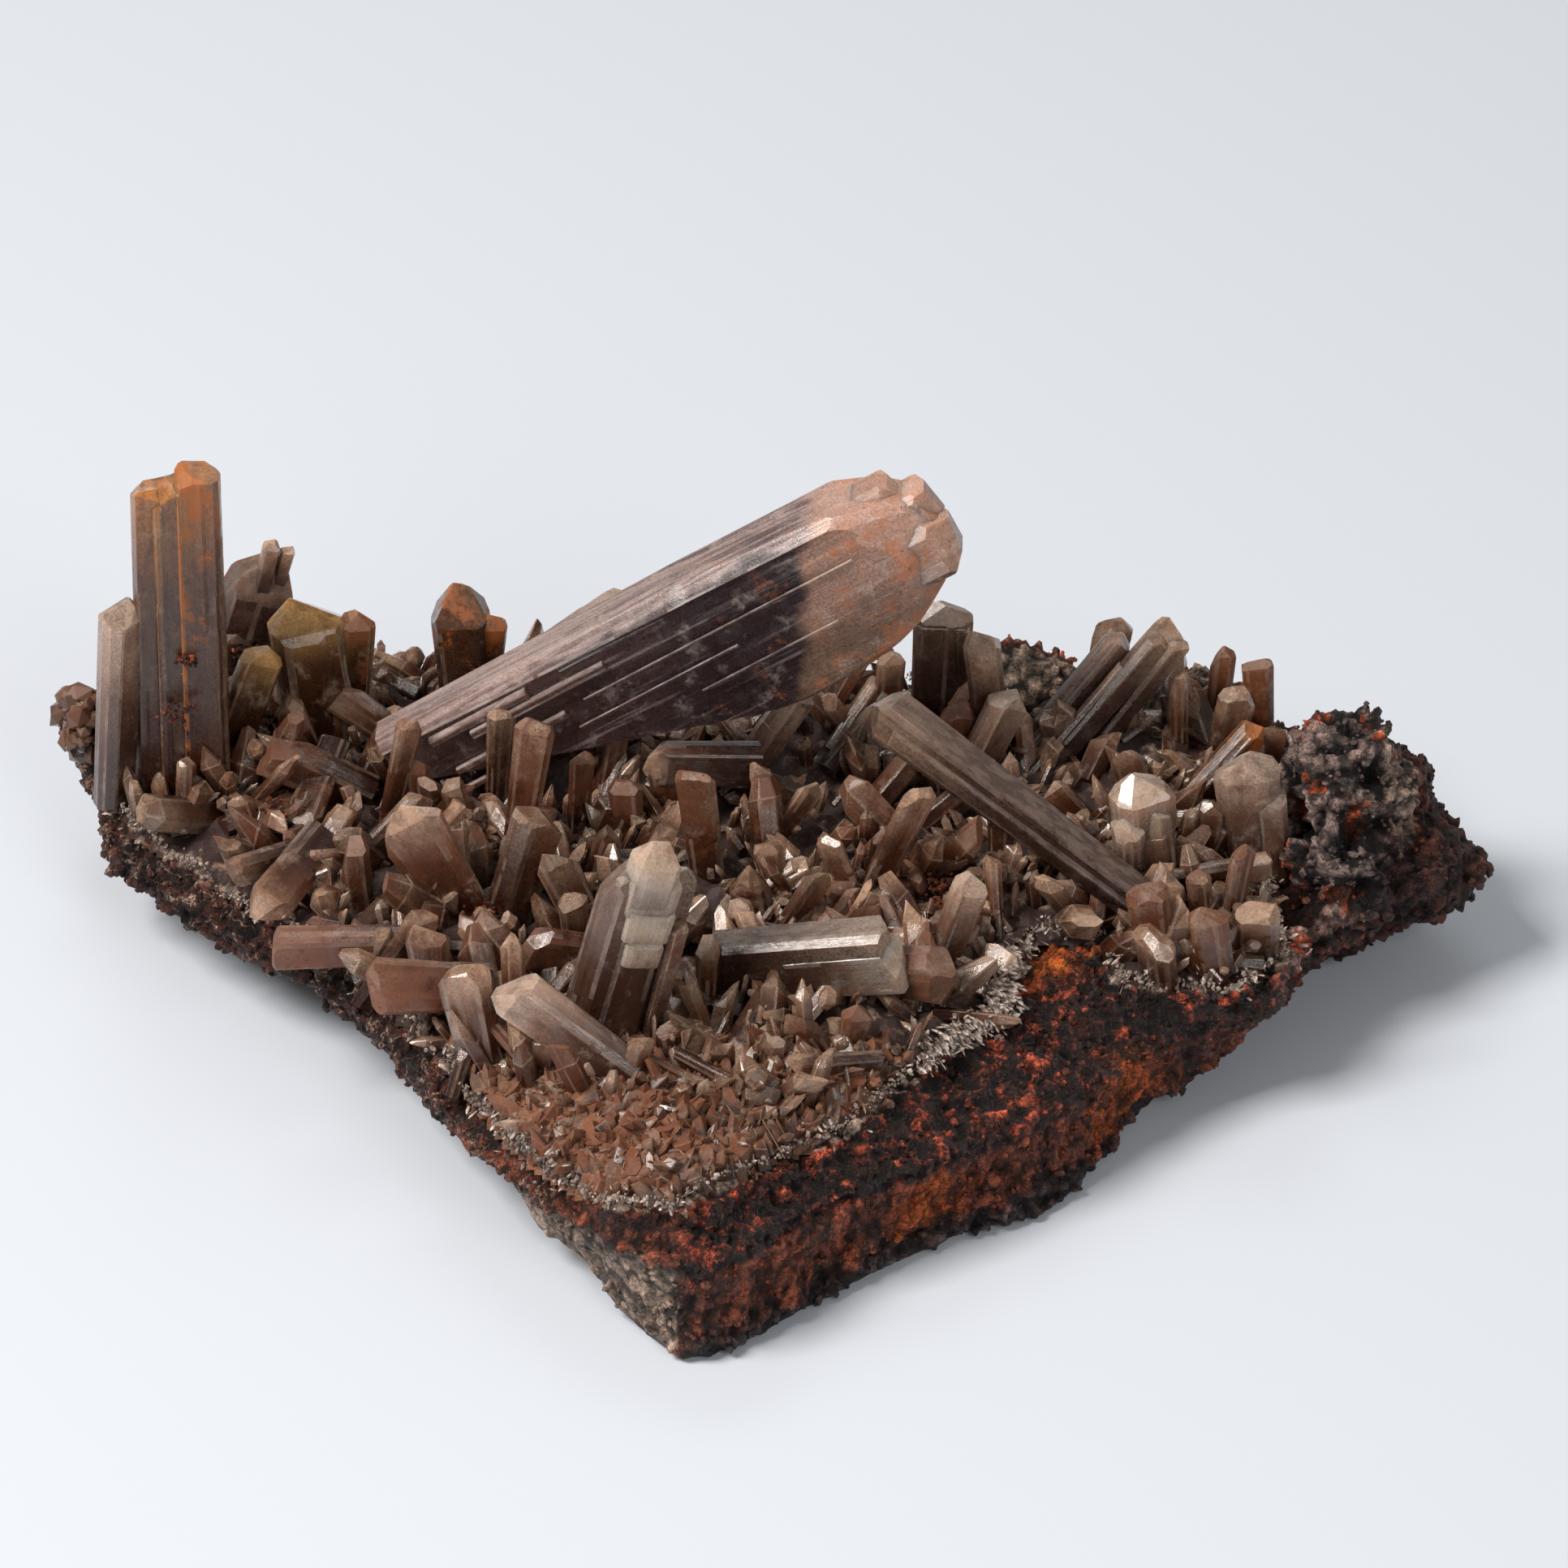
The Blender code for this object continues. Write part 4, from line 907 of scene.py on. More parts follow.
def add_crumbs(
    gathering: Gathering, feet: Rows, sizes: Rows, values: dict[str, Rows], rng: Chance, facets: bool = False
) -> None:
    """Add one angular grain at each foot.

    Args:
        gathering: The mesh that they join.
        feet: Rows of places.
        sizes: Each grain's radius.
        values: Rows of three for each grain, by name.
        rng: The source of chance.
        facets: Whether the faces carry a crystal's painted light and shade for each face, and frost.
    """
    count, corners, faces = len(feet), len(BALL), len(feet) * len(BALL_FACES)
    stretch = rng.uniform(0.55, 1.25, (count, 1, 3))
    knock = rng.uniform(0.75, 1.15, (count, corners, 1))
    angle = rng.uniform(0.0, 2.0 * math.pi, (count, 1))
    x, y, z = np.moveaxis(BALL * stretch * knock * sizes[:, None, None], 2, 0)
    turned = abreast(x * np.cos(angle) - y * np.sin(angle), x * np.sin(angle) + y * np.cos(angle), z)
    loops = (BALL_FACES.ravel() + corners * np.arange(count)[:, None]).ravel()
    spread = {name: np.repeat(given, corners, axis=0) for name, given in values.items()}
    face_values = {}
    if facets:
        # painted light and shade for each face, and some frost
        shade = rng.uniform(0.0, 1.0, faces)
        face_values["facet"] = abreast(shade, 0.6 * rng.uniform(0.0, 1.0, faces) ** 2, 1.0)
    world = turned + feet[:, None, :]
    gathering.add(world.reshape(-1, 3), loops, np.full(faces, 3), spread, face_values)


# Where the crust lies


def within_crust(places: Rows) -> Rows:
    """Whether each place in plan lies inside the crust's rim.

    Args:
        places: Rows of x and y.

    Returns:
        A true or false value for each.
    """
    x, y = places[:, 0], places[:, 1]
    found = np.zeros(len(places), bool)
    for (ax, ay), (bx, by) in zip(CRUST_OUTLINE, np.roll(CRUST_OUTLINE, -1, axis=0)):
        crosses = (ay > y) != (by > y)
        reach = ax + (y - ay) / (by - ay if by != ay else 1e-9) * (bx - ax)
        found ^= crosses & (x < reach)
    return found


def rim_distance(places: Rows) -> Rows:
    """How far each place in plan is from the crust's rim, below zero outside it.

    Args:
        places: Rows of x and y.

    Returns:
        One distance for each.
    """
    nearest = np.full(len(places), 1e9)
    for start, end in zip(CRUST_OUTLINE, np.roll(CRUST_OUTLINE, -1, axis=0)):
        way = end - start
        share = unit(((places - start) @ way) / (way @ way))
        nearest = np.minimum(nearest, np.linalg.norm(places - (start + share[:, None] * way), axis=1))
    return np.where(within_crust(places), nearest, -nearest)


def plan_noise(places: Rows, scale: float, level: float, seed: int) -> Rows:
    """Rolling noise from -1 to 1, read in plan.

    Args:
        places: Rows of x and y.
        scale: Waves a millimetre.
        level: Where the pattern is cut through.
        seed: Which pattern to use.

    Returns:
        One value for each.
    """
    return smooth_noise(np.column_stack([places * scale, np.full(len(places), level)]), seed)


def crust_height(places: Rows) -> Rows:
    """Height of the crust's surface: low along its rim, rolling further in.

    Args:
        places: Rows of x and y.

    Returns:
        One height for each.
    """
    rise = unit(rim_distance(places) / CRUST_SLOPE_WIDTH)
    return CRUST_EDGE + rise * (CRUST_TOP - CRUST_EDGE + 0.6 * plan_noise(places, 0.13, 3.0, 5))


# Finishes


class ZoneBorder(NamedTuple):
    """How a crystal's upper colour begins, and what goes with it."""

    wander: float  # how far the border strays, as a share of the length
    blend: float  # how far it takes to change
    smoke: float  # how strong the dark clouds are
    stain: float  # how thick the rust is
    rust_rise: float | None  # how much the rust grows along the crystal, or None for ever faster
    rust_start: float  # how much there is at the foot


class Zoning(Enum):
    """How a crystal's colour changes towards its end."""

    SHARP = ZoneBorder(0.07, 0.016, 0.15, 0.6, None, 0.0)
    GRADUAL = ZoneBorder(0.3, 0.26, 0.38, 0.8, 0.8, 0.45)


@dataclass(frozen=True)
class CrystalFinish:
    """A hemimorphite finish: colours from foot to end, stains, clarity and striation."""

    name: str
    foot: Colour
    body: Colour
    end: Colour
    border: float  # share of the length where the end colour starts
    zoning: Zoning = Zoning.GRADUAL
    clarity: float = 0.7
    gloss: float = 0.07
    stria: float = 0.3
    glow: float = 0.5
    streaks: float = 0.3
    pale_threads_and_sheen: float = 0.06  # how strong the long pale threads along the striae are: partly real threads, partly a painted sheen
    flank: Colour | None = None  # end colour on the crystal's +X side
    crest_and_top_light: Colour | None = None  # colour of the crystal's -X edge, its upper one: a chalky pale strip, partly painted light from above
    absorb: Colour = (0.72, 0.36, 0.15)
    density: float = 250.0
    # colour of frost and veils, and also of the painted highlights on edges and ridge steps
    frost: Colour = (0.70, 0.51, 0.38)
    rust: Colour = (0.24, 0.062, 0.013)


ROSY = CrystalFinish(
    "rosy hemimorphite", (0.12, 0.064, 0.054), (0.038, 0.022, 0.026), (0.50, 0.285, 0.205), 0.708,
    Zoning.SHARP, 0.15, 0.2, streaks=0.12, pale_threads_and_sheen=0.4, flank=(0.27, 0.165, 0.112), crest_and_top_light=(0.37, 0.27, 0.245),
    frost=(0.62, 0.51, 0.47), rust=(0.44, 0.12, 0.030),
)
SMOKY = CrystalFinish(
    "smoky hemimorphite", (0.026, 0.008, 0.005), (0.095, 0.047, 0.034), (0.56, 0.37, 0.26), 0.8,
    clarity=0.4, gloss=0.18, frost=(0.31, 0.215, 0.17),
)
AMBER = CrystalFinish(
    "amber hemimorphite", (0.07, 0.016, 0.007), (0.125, 0.050, 0.024), (0.60, 0.25, 0.075), 0.84,
    clarity=0.4, gloss=0.1, streaks=0.5, pale_threads_and_sheen=0.15, frost=(0.52, 0.35, 0.23), rust=(0.52, 0.14, 0.014),
)
GEMMY = CrystalFinish(
    "gemmy hemimorphite", (0.035, 0.010, 0.004), (0.085, 0.033, 0.012), (0.80, 0.46, 0.15), 0.80,
    clarity=0.35, gloss=0.04, streaks=0.1,
)
PALE = CrystalFinish(
    "pale hemimorphite", (0.10, 0.040, 0.024), (0.33, 0.190, 0.130), (0.80, 0.59, 0.45), 0.66,
    clarity=0.58, gloss=0.05, streaks=0.12, frost=(0.80, 0.65, 0.56),
)
DRUSE = CrystalFinish(
    "druse hemimorphite", (0.040, 0.008, 0.003), (0.19, 0.070, 0.034), (0.80, 0.52, 0.35), 0.72,
    clarity=0.62, gloss=0.05, glow=0.0,
)
CLEAR = CrystalFinish(
    "clear hemimorphite", (0.16, 0.065, 0.035), (0.42, 0.24, 0.15), (0.86, 0.65, 0.50), 0.5,
    clarity=0.75, gloss=0.16, density=200.0, glow=0.0,
)
SUGAR = CrystalFinish(
    "sugary hemimorphite", (0.040, 0.010, 0.004), (0.080, 0.026, 0.010), (0.31, 0.150, 0.078), 0.72,
    clarity=0.4, gloss=0.3, glow=0.0, frost=(0.44, 0.26, 0.17), rust=(0.22, 0.055, 0.010),
)
GROUND = CrystalFinish(
    "druse ground", (0.022, 0.006, 0.003), (0.034, 0.010, 0.005), (0.20, 0.095, 0.055), 0.9,
    clarity=0.0, gloss=0.75, glow=0.0,
)
FIBRE = CrystalFinish(
    "pale crust", (0.13, 0.095, 0.080), (0.28, 0.215, 0.18), (0.55, 0.46, 0.40), 0.5,
    clarity=0.0, gloss=0.7, glow=0.0,
)
HEMIMORPHITE_IOR = 1.61
STRIA_DEPTH = 0.14  # millimetres
GLOW_DEPTH = 1.4  # how far light strays inside the crystals, in millimetres
GLOW_COLOURS = (1.0, 0.65, 0.45)  # how far each colour strays, as a share of that
FRECKLE = (0.10, 0.022, 0.008)  # colour of the smallest rust spots


class Pattern(NamedTuple):
    """A noise in waves a millimetre, and the soft step that makes a mask of it."""

    scale: float
    detail: float
    rough: float = 0.55
    low: float = 0.0
    high: float = 1.0
    stretch: Factors | None = None


# Patterns of the crystals
STREAK = Pattern(1.0, 2.0, 0.55, 0.35, 0.65, (1.6, 1.6, 0.05))
STRIA = Pattern(1.0, 3.0, 0.7, stretch=(7.0, 7.0, 0.12))
RUST_CLOUD = Pattern(0.45, 5.0, 0.65)
RUST_SPOTS = Pattern(4.5, 3.0, 0.7)
RIPPLE = Pattern(0.35, 5.0)
# long pale threads along the striae, partly a painted sheen
THREADS = Pattern(1.0, 3.0, 0.6, 0.56, 0.72, (2.4, 2.4, 0.04))
VEIL = Pattern(0.6, 6.0, 0.65, 0.54, 0.70)
SMOKE = Pattern(0.75, 5.0, 0.6, 0.48, 0.62, (1.0, 1.0, 0.5))
CHALK = Pattern(1.0, 4.0, 0.65, 0.40, 0.58, (2.6, 2.6, 0.12))
DUST = Pattern(5.5, 4.0, 0.75, 0.35, 0.65)
# breaks up the frost and the painted edge highlights into spots
FROST_AND_HIGHLIGHT_SPOTS = Pattern(1.5, 5.0, 0.7, 0.44, 0.58, (1.0, 1.0, 0.4))
DULL_PATCH = Pattern(0.8, 4.0, 0.55, 0.45, 0.70)
PITS = Pattern(6.0, 3.0, 0.7)
# Patterns of the rock
MOTTLE = Pattern(0.7, 6.0, 0.7)
GRAINS = Pattern(5.0, 4.0, 0.7)
COARSE = Pattern(0.3, 5.0, 0.62)
FINE = Pattern(1.6, 6.0, 0.75)
COLUMNS = Pattern(1.4, 5.0, 0.7, stretch=(1.3, 1.3, 0.35))
TINY = Pattern(4.5, 4.0, 0.75)
SEAM = Pattern(0.5, 4.0, 0.6)


@dataclass
class Wiring:
    """Short words for the joins in a node tree. A value is a socket, a number, or a tuple of three."""

    tree: bpy.types.NodeTree

    def feed(self, target: Socket, value: object) -> None:
        """Link an input to a socket, or give it a value of its own.

        Args:
            target: The input.
            value: Its value.
        """
        if isinstance(value, Socket):
            self.tree.links.new(value, target)
        else:
            target.default_value = (*value, 1.0) if target.type == "RGBA" else value

    def node(self, kind: str, *values: object, **settings: object) -> bpy.types.Node:
        """Add a node.

        Args:
            kind: Its Blender type, which follows the words ShaderNode.
            values: The values of its first inputs.
            settings: Its properties, and the values of other inputs, by name.

        Returns:
            The node.
        """
        made = self.tree.nodes.new("ShaderNode" + kind)
        for key, value in settings.items():
            if hasattr(made, key):
                setattr(made, key, value)
            else:
                self.feed(made.inputs[key], value)
        for target, value in zip(made.inputs, values):
            self.feed(target, value)
        return made

    def dress(self, node: bpy.types.Node, values: dict[str, object]) -> None:
        """Feed a node's inputs, by name."""
        for name, value in values.items():
            self.feed(node.inputs[name], value)

    def maths(self, operation: str, *values: object) -> Socket:
        """The result of a Math node."""
        return self.node("Math", *values, operation=operation).outputs[0]

    def times(self, first: object, second: object) -> Socket:
        """The product of two values."""
        return self.maths("MULTIPLY", first, second)

    def plus(self, first: object, second: object) -> Socket:
        """The sum of two values."""
        return self.maths("ADD", first, second)

    def less(self, first: object, second: object) -> Socket:
        """The first value less the second."""
        return self.maths("SUBTRACT", first, second)

    def weighed(self, more: float, *terms: tuple[Socket, float]) -> Socket:
        """A number and a sum of sockets.

        Args:
            more: The number.
            terms: Each socket and its factor.

        Returns:
            The sum's socket.
        """
        total = more
        for socket, factor in terms:
            total = self.plus(total, self.times(socket, factor))
        return total

    def mix(self, share: object, first: object, second: object) -> Socket:
        """A colour between two.

        Args:
            share: How much of the second.
            first: A colour.
            second: A colour.

        Returns:
            The colour's socket.
        """
        made = self.node("Mix", share, data_type="RGBA")
        self.feed(made.inputs[6], first)
        self.feed(made.inputs[7], second)
        return made.outputs[2]

    def coats(self, colour: object, *layers: tuple[Socket, object, object]) -> Socket:
        """A colour with others laid over it in turn.

        Args:
            colour: The colour.
            layers: Each coat's mask, strength and colour.

        Returns:
            The new colour's socket.
        """
        for mask, strength, coat in layers:
            colour = self.mix(self.times(mask, strength), colour, coat)
        return colour

    def shaded(self, vector: Socket, factor: object) -> Socket:
        """A colour or a vector times a factor."""
        return self.node("VectorMath", vector, operation="SCALE", Scale=factor).outputs[0]

    def attribute(self, name: str) -> Socket:
        """The mesh's own value of that name."""
        return self.node("Attribute", attribute_name=name).outputs["Vector"]

    def parts(self, vector: Socket) -> list[Socket]:
        """The three numbers of a vector."""
        return list(self.node("SeparateXYZ", vector).outputs)

    def ramp(self, value: object, low: float, high: float) -> Socket:
        """A soft step from 0 at low to 1 at high."""
        return self.node("MapRange", value, low, high, interpolation_type="SMOOTHSTEP").outputs["Result"]

    def stretched(self, vector: Socket, factors: Factors) -> Socket:
        """The vector times a factor for each axis."""
        return self.node("VectorMath", vector, factors, operation="MULTIPLY").outputs[0]

    def noise(self, vector: Socket, pattern: Pattern) -> Socket:
        """Noise from 0 to 1.

        Args:
            vector: Where it is read.
            pattern: Its fineness.

        Returns:
            The value's socket.
        """
        vector = self.stretched(vector, pattern.stretch) if pattern.stretch else vector
        scale, detail, rough = pattern[:3]
        return self.node("TexNoise", Vector=vector, Scale=scale, Detail=detail, Roughness=rough).outputs["Fac"]

    def mask(self, vector: Socket, pattern: Pattern) -> Socket:
        """Where a pattern lies, from 0 to 1."""
        return self.ramp(self.noise(vector, pattern), pattern.low, pattern.high)

    def relief(self, height: Socket, strength: float, depth: float) -> Socket:
        """The normal of a relief that is depth millimetres deep."""
        return self.node("Bump", Height=height, Strength=strength, Distance=depth * MM).outputs["Normal"]


def striae(wiring: Wiring, vector: Socket, fineness: Socket) -> tuple[Socket, ...]:
    """Lengthwise striae: streaks of light and dark, and their relief.

    Args:
        wiring: The group's wiring.
        vector: Where they are read.
        fineness: How close they lie.

    Returns:
        The group's outputs.
    """
    scaled = wiring.shaded(vector, fineness)
    return wiring.mask(scaled, STREAK), wiring.noise(scaled, STRIA)


def rust_stain(wiring: Wiring, vector: Socket, amount: Socket) -> tuple[Socket, ...]:
    """Rust: a ragged mask that grows with the amount, and freckles.

    Args:
        wiring: The group's wiring.
        vector: Where it is read.
        amount: How much rust there is.

    Returns:
        The group's outputs.
    """
    cloud, spots = wiring.noise(vector, RUST_CLOUD), wiring.noise(vector, RUST_SPOTS)
    over = wiring.plus(wiring.weighed(-0.95, (amount, 0.5), (spots, 0.25)), cloud)
    freckled = wiring.plus(wiring.times(amount, 0.12), spots)
    return wiring.ramp(over, -0.08, 0.12), wiring.ramp(freckled, 0.69, 0.76)


def crumb(wiring: Wiring, vector: Socket, size: Socket) -> tuple[Socket, ...]:
    """Crumbly rock: a mottle from 0 to 1, crumb-sized relief, and a painted shade that is dark in the crevices
    between the crumbs and light at their middles.

    Args:
        wiring: The group's wiring.
        vector: Where it is read.
        size: How many crumbs there are to a unit.

    Returns:
        The group's outputs.
    """
    scaled = wiring.shaded(vector, size)
    wobble = wiring.node("TexNoise", Vector=scaled, Scale=1.5, Detail=4.0).outputs["Color"]
    bent = wiring.node("VectorMath", scaled, wobble, operation="ADD").outputs[0]
    lumps = wiring.less(0.0, wiring.node("TexVoronoi", Vector=bent, Scale=1.25).outputs["Distance"])
    relief = wiring.plus(lumps, wiring.noise(scaled, GRAINS))
    return wiring.noise(scaled, MOTTLE), relief, wiring.ramp(lumps, -0.85, -0.35)


def new_group(
    name: str, amount: str, outputs: tuple[str, ...], wire: Callable[[Wiring, Socket, Socket], tuple[Socket, ...]]
) -> bpy.types.NodeTree:
    """A shader node group that reads a vector and a number, and gives numbers.

    Args:
        name: The group's name.
        amount: The number's name.
        outputs: The names of what it gives.
        wire: Adds its nodes between its inputs and its outputs.

    Returns:
        The group.
    """
    tree = bpy.data.node_groups.new(name, "ShaderNodeTree")
    sockets = [("Vector", "INPUT", "Vector"), (amount, "INPUT", "Float")]
    for key, way, kind in sockets + [(output, "OUTPUT", "Float") for output in outputs]:
        tree.interface.new_socket(name=key, in_out=way, socket_type="NodeSocket" + kind)
    given, result = tree.nodes.new("NodeGroupInput"), tree.nodes.new("NodeGroupOutput")
    for made, target in zip(wire(Wiring(tree), given.outputs[0], given.outputs[1]), result.inputs):
        tree.links.new(made, target)
    return tree


class Effects:
    """The node groups that the finishes share."""

    def __init__(self) -> None:
        """Build each group once."""
        self.stria = new_group("Lengthwise striae", "Fineness", ("Streak", "Relief"), striae)
        self.stain = new_group("Rust stain", "Amount", ("Stain", "Freckle"), rust_stain)
        self.crumb = new_group("Crumb", "Size", ("Mottle", "Relief", "Crevice shade"), crumb)


def new_material(name: str) -> tuple[Material, Wiring, bpy.types.Node]:
    """A material that is still bare.

    Args:
        name: Its name.

    Returns:
        The material, its wiring and its shader.
    """
    material = bpy.data.materials.new(name)
    material.use_nodes = True
    return material, Wiring(material.node_tree), material.node_tree.nodes["Principled BSDF"]


def crystal_material(finish: CrystalFinish, effects: Effects) -> Material:
    """The material of one hemimorphite finish.

    Args:
        finish: The finish.
        effects: The shared node groups.

    Returns:
        The material.
    """
    material, wiring, shader = new_material(finish.name)
    border = finish.zoning.value
    space = wiring.attribute("crystal_space")
    across = wiring.parts(space)[0]
    along, tint, rust = wiring.parts(wiring.attribute("growth"))
    # facet holds each face's painted light and shade, its frost with the painted highlights on edges and ridge steps,
    # and whether it ends the crystal
    shade, frost_and_highlight, ending = wiring.parts(wiring.attribute("facet"))
    streak, stria = wiring.node("Group", node_tree=effects.stria, Vector=space, Fineness=1.0).outputs
    ripple = wiring.less(wiring.noise(space, RIPPLE), 0.5)
    height = wiring.plus(along, wiring.times(ripple, border.wander))
    lower = wiring.mix(wiring.ramp(height, 0.05, 0.6), finish.foot, finish.body)
    upper = wiring.ramp(height, finish.border - border.blend, finish.border + border.blend)
    end = finish.end
    if finish.flank:
        end = wiring.mix(wiring.ramp(wiring.weighed(0.0, (across, 1.0), (ripple, 6.0)), -1.5, 3.5), end, finish.flank)
    colour = wiring.coats(
        wiring.mix(upper, lower, end),
        (streak, finish.streaks, finish.body),
        (wiring.mask(space, THREADS), finish.pale_threads_and_sheen, finish.frost),
        (wiring.mask(space, VEIL), 0.4, finish.frost),
        (wiring.mask(space, SMOKE), border.smoke, finish.foot),
    )
    # the upper -X edge strip: chalky and pale, partly painted light from above
    if finish.crest_and_top_light:
        edge = wiring.ramp(wiring.less(wiring.times(ripple, 2.5), across), 5.5, 6.2)
        chalky = wiring.weighed(0.2, (wiring.mask(space, CHALK), 0.7))
        colour = wiring.coats(colour, (edge, chalky, finish.crest_and_top_light))
    dust = wiring.mask(space, DUST)
    # brightness from the crystal's tint, the face's painted light and shade, and dust
    colour = wiring.shaded(colour, wiring.weighed(0.05, (tint, 0.6), (shade, 0.5), (dust, 0.5)))
    amount = wiring.times(rust, wiring.weighed(border.rust_start, (along, border.rust_rise or along)))
    stain, freckle = wiring.node("Group", node_tree=effects.stain, Vector=space, Amount=amount).outputs
    # rime: frost, and the painted highlights on edges and ridge steps, broken into spots
    rime = wiring.times(frost_and_highlight, wiring.weighed(0.4, (wiring.mask(space, FROST_AND_HIGHLIGHT_SPOTS), 0.6)))
    colour = wiring.coats(
        colour, (stain, border.stain, finish.rust), (rime, 0.5, finish.frost), (freckle, 0.85, FRECKLE)
    )
    patch = wiring.maths("MAXIMUM", wiring.mask(space, DULL_PATCH), rime)
    relief = wiring.plus(wiring.times(stria, wiring.less(1.1, ending)), wiring.times(wiring.noise(space, PITS), 0.5))
    wiring.dress(shader, {
        "Base Color": colour,
        "Roughness": wiring.weighed(finish.gloss, (stain, 0.45), (patch, 0.3)),
        "Normal": wiring.relief(relief, finish.stria, STRIA_DEPTH),
        "IOR": HEMIMORPHITE_IOR,
        "Transmission Weight": finish.clarity,
        "Subsurface Weight": finish.glow,
        "Subsurface Radius": GLOW_COLOURS,
        "Subsurface Scale": GLOW_DEPTH * MM,
    })
    if finish.clarity > 0.0:
        depth = wiring.node("VolumeAbsorption", Color=finish.absorb, Density=finish.density)
        wiring.feed(material.node_tree.nodes["Material Output"].inputs["Volume"], depth.outputs["Volume"])
    return material


@dataclass(frozen=True)
class LimoniteFinish:
    """The rock's colours."""

    black: Colour = (0.016, 0.007, 0.006)
    brown: Colour = (0.13, 0.030, 0.015)
    rust: Colour = (0.34, 0.080, 0.034)
    ochre: Colour = (0.42, 0.115, 0.012)
    salmon: Colour = (0.46, 0.17, 0.10)
    pale: Colour = (0.30, 0.215, 0.165)
    grey: Colour = (0.15, 0.105, 0.092)
    ember: Colour = (0.36, 0.055, 0.010)
    wine: Colour = (0.42, 0.075, 0.032)
    clay: Colour = (0.26, 0.090, 0.050)
    soot: Colour = (0.085, 0.066, 0.066)


def limonite_material(finish: LimoniteFinish, effects: Effects) -> Material:
    """The rock's material, which reads its zones and its hollows from the mesh.

    Args:
        finish: The rock's colours.
        effects: The shared node groups.

    Returns:
        The material.
    """
    material, wiring, shader = new_material("limonite")
    place = wiring.stretched(wiring.node("TexCoord").outputs["Object"], (1.0 / MM,) * 3)
    ochre, pale, dark = wiring.parts(wiring.attribute("zones"))
    # surface holds the painted light of the relief, brighter on knobs and darker in pits, then a random tone for each
    # grain and the greyness; relief here is that painted light
    relief, shade, grey = wiring.parts(wiring.attribute("surface"))
    granular, ashen, veined = wiring.parts(wiring.attribute("strata"))
    # crumbs is painted shade: dark in the crevices between the crumbs and light at their middles
    mottle, lumps, crumbs = wiring.node("Group", node_tree=effects.crumb, Vector=place, Size=1.0).outputs
    coarse, fine, streaks, tiny = (wiring.noise(place, pattern) for pattern in (COARSE, FINE, COLUMNS, TINY))
    specks = wiring.times(wiring.ramp(tiny, 0.60, 0.68), wiring.ramp(coarse, 0.40, 0.60))
    crumbly = wiring.mix(wiring.ramp(mottle, 0.49, 0.60), finish.black, finish.wine)
    warm = wiring.mix(wiring.ramp(fine, 0.42, 0.62), finish.ember, finish.ochre)
    # the ash is greyer where the painted light is high and where the mottle is, and black elsewhere
    ash_grey_and_light = wiring.ramp(wiring.weighed(0.0, (relief, 0.6), (mottle, 0.7)), 0.42, 0.70)
    ash = wiring.mix(wiring.ramp(coarse, 0.54, 0.60), wiring.mix(ash_grey_and_light, finish.black, finish.grey), finish.ember)
    scorched = wiring.mix(wiring.ramp(mottle, 0.44, 0.60), finish.black, finish.soot)
    seam = wiring.maths("ABSOLUTE", wiring.less(wiring.noise(place, SEAM), 0.5))
    vein = wiring.times(veined, wiring.less(1.0, wiring.ramp(seam, 0.006, 0.022)))
    colour = wiring.coats(
        wiring.mix(wiring.ramp(mottle, 0.40, 0.58), finish.black, finish.brown),
        (wiring.ramp(coarse, 0.44, 0.60), 0.85, finish.rust),
        (wiring.ramp(streaks, 0.46, 0.62), 0.6, finish.clay),
        (wiring.ramp(fine, 0.60, 0.68), 0.4, finish.salmon),
        (granular, 1.0, wiring.coats(crumbly, (specks, 0.5, finish.salmon))),
        (wiring.ramp(wiring.weighed(0.0, (ochre, 1.0), (streaks, 0.8)), 0.85, 1.2), 0.85, warm),
        (grey, 1.0, ash),
        (wiring.ramp(wiring.weighed(0.0, (dark, 0.8), (fine, 0.9)), 0.62, 0.98), 0.8, finish.black),
        (ashen, 0.85, scorched),
        (vein, 0.7, finish.pale),
        (wiring.ramp(wiring.weighed(0.0, (pale, 0.7), (streaks, 1.0)), 0.88, 1.12), 1.0, finish.pale),
    )
    # the colour is scaled by painted light and shade: from the relief, the grains' tone, and the painted shade in the
    # crevices between crumbs
    painted_light = wiring.weighed(-0.05, (relief, 2.0), (shade, 0.5))
    painted_crevice_shade_and_speckle = wiring.times(wiring.plus(wiring.ramp(tiny, 0.36, 0.60), 0.3), crumbs)
    wiring.dress(shader, {
        "Base Color": wiring.shaded(colour, wiring.times(painted_light, wiring.plus(painted_crevice_shade_and_speckle, 0.15))),
        "Roughness": wiring.weighed(0.1, (tiny, 0.8)),
        "Specular IOR Level": 0.4,
        "Normal": wiring.relief(wiring.plus(lumps, streaks), 1.0, 0.5),
    })
    return material


# Sub-assemblies


def applied(obj: Piece) -> bpy.types.Mesh:
    """Apply an object's modifiers.

    Args:
        obj: The object, which loses them.

    Returns:
        Its new mesh.
    """
    graph = bpy.context.evaluated_depsgraph_get()
    mesh = bpy.data.meshes.new_from_object(obj.evaluated_get(graph))
    obj.modifiers.clear()
    return mesh


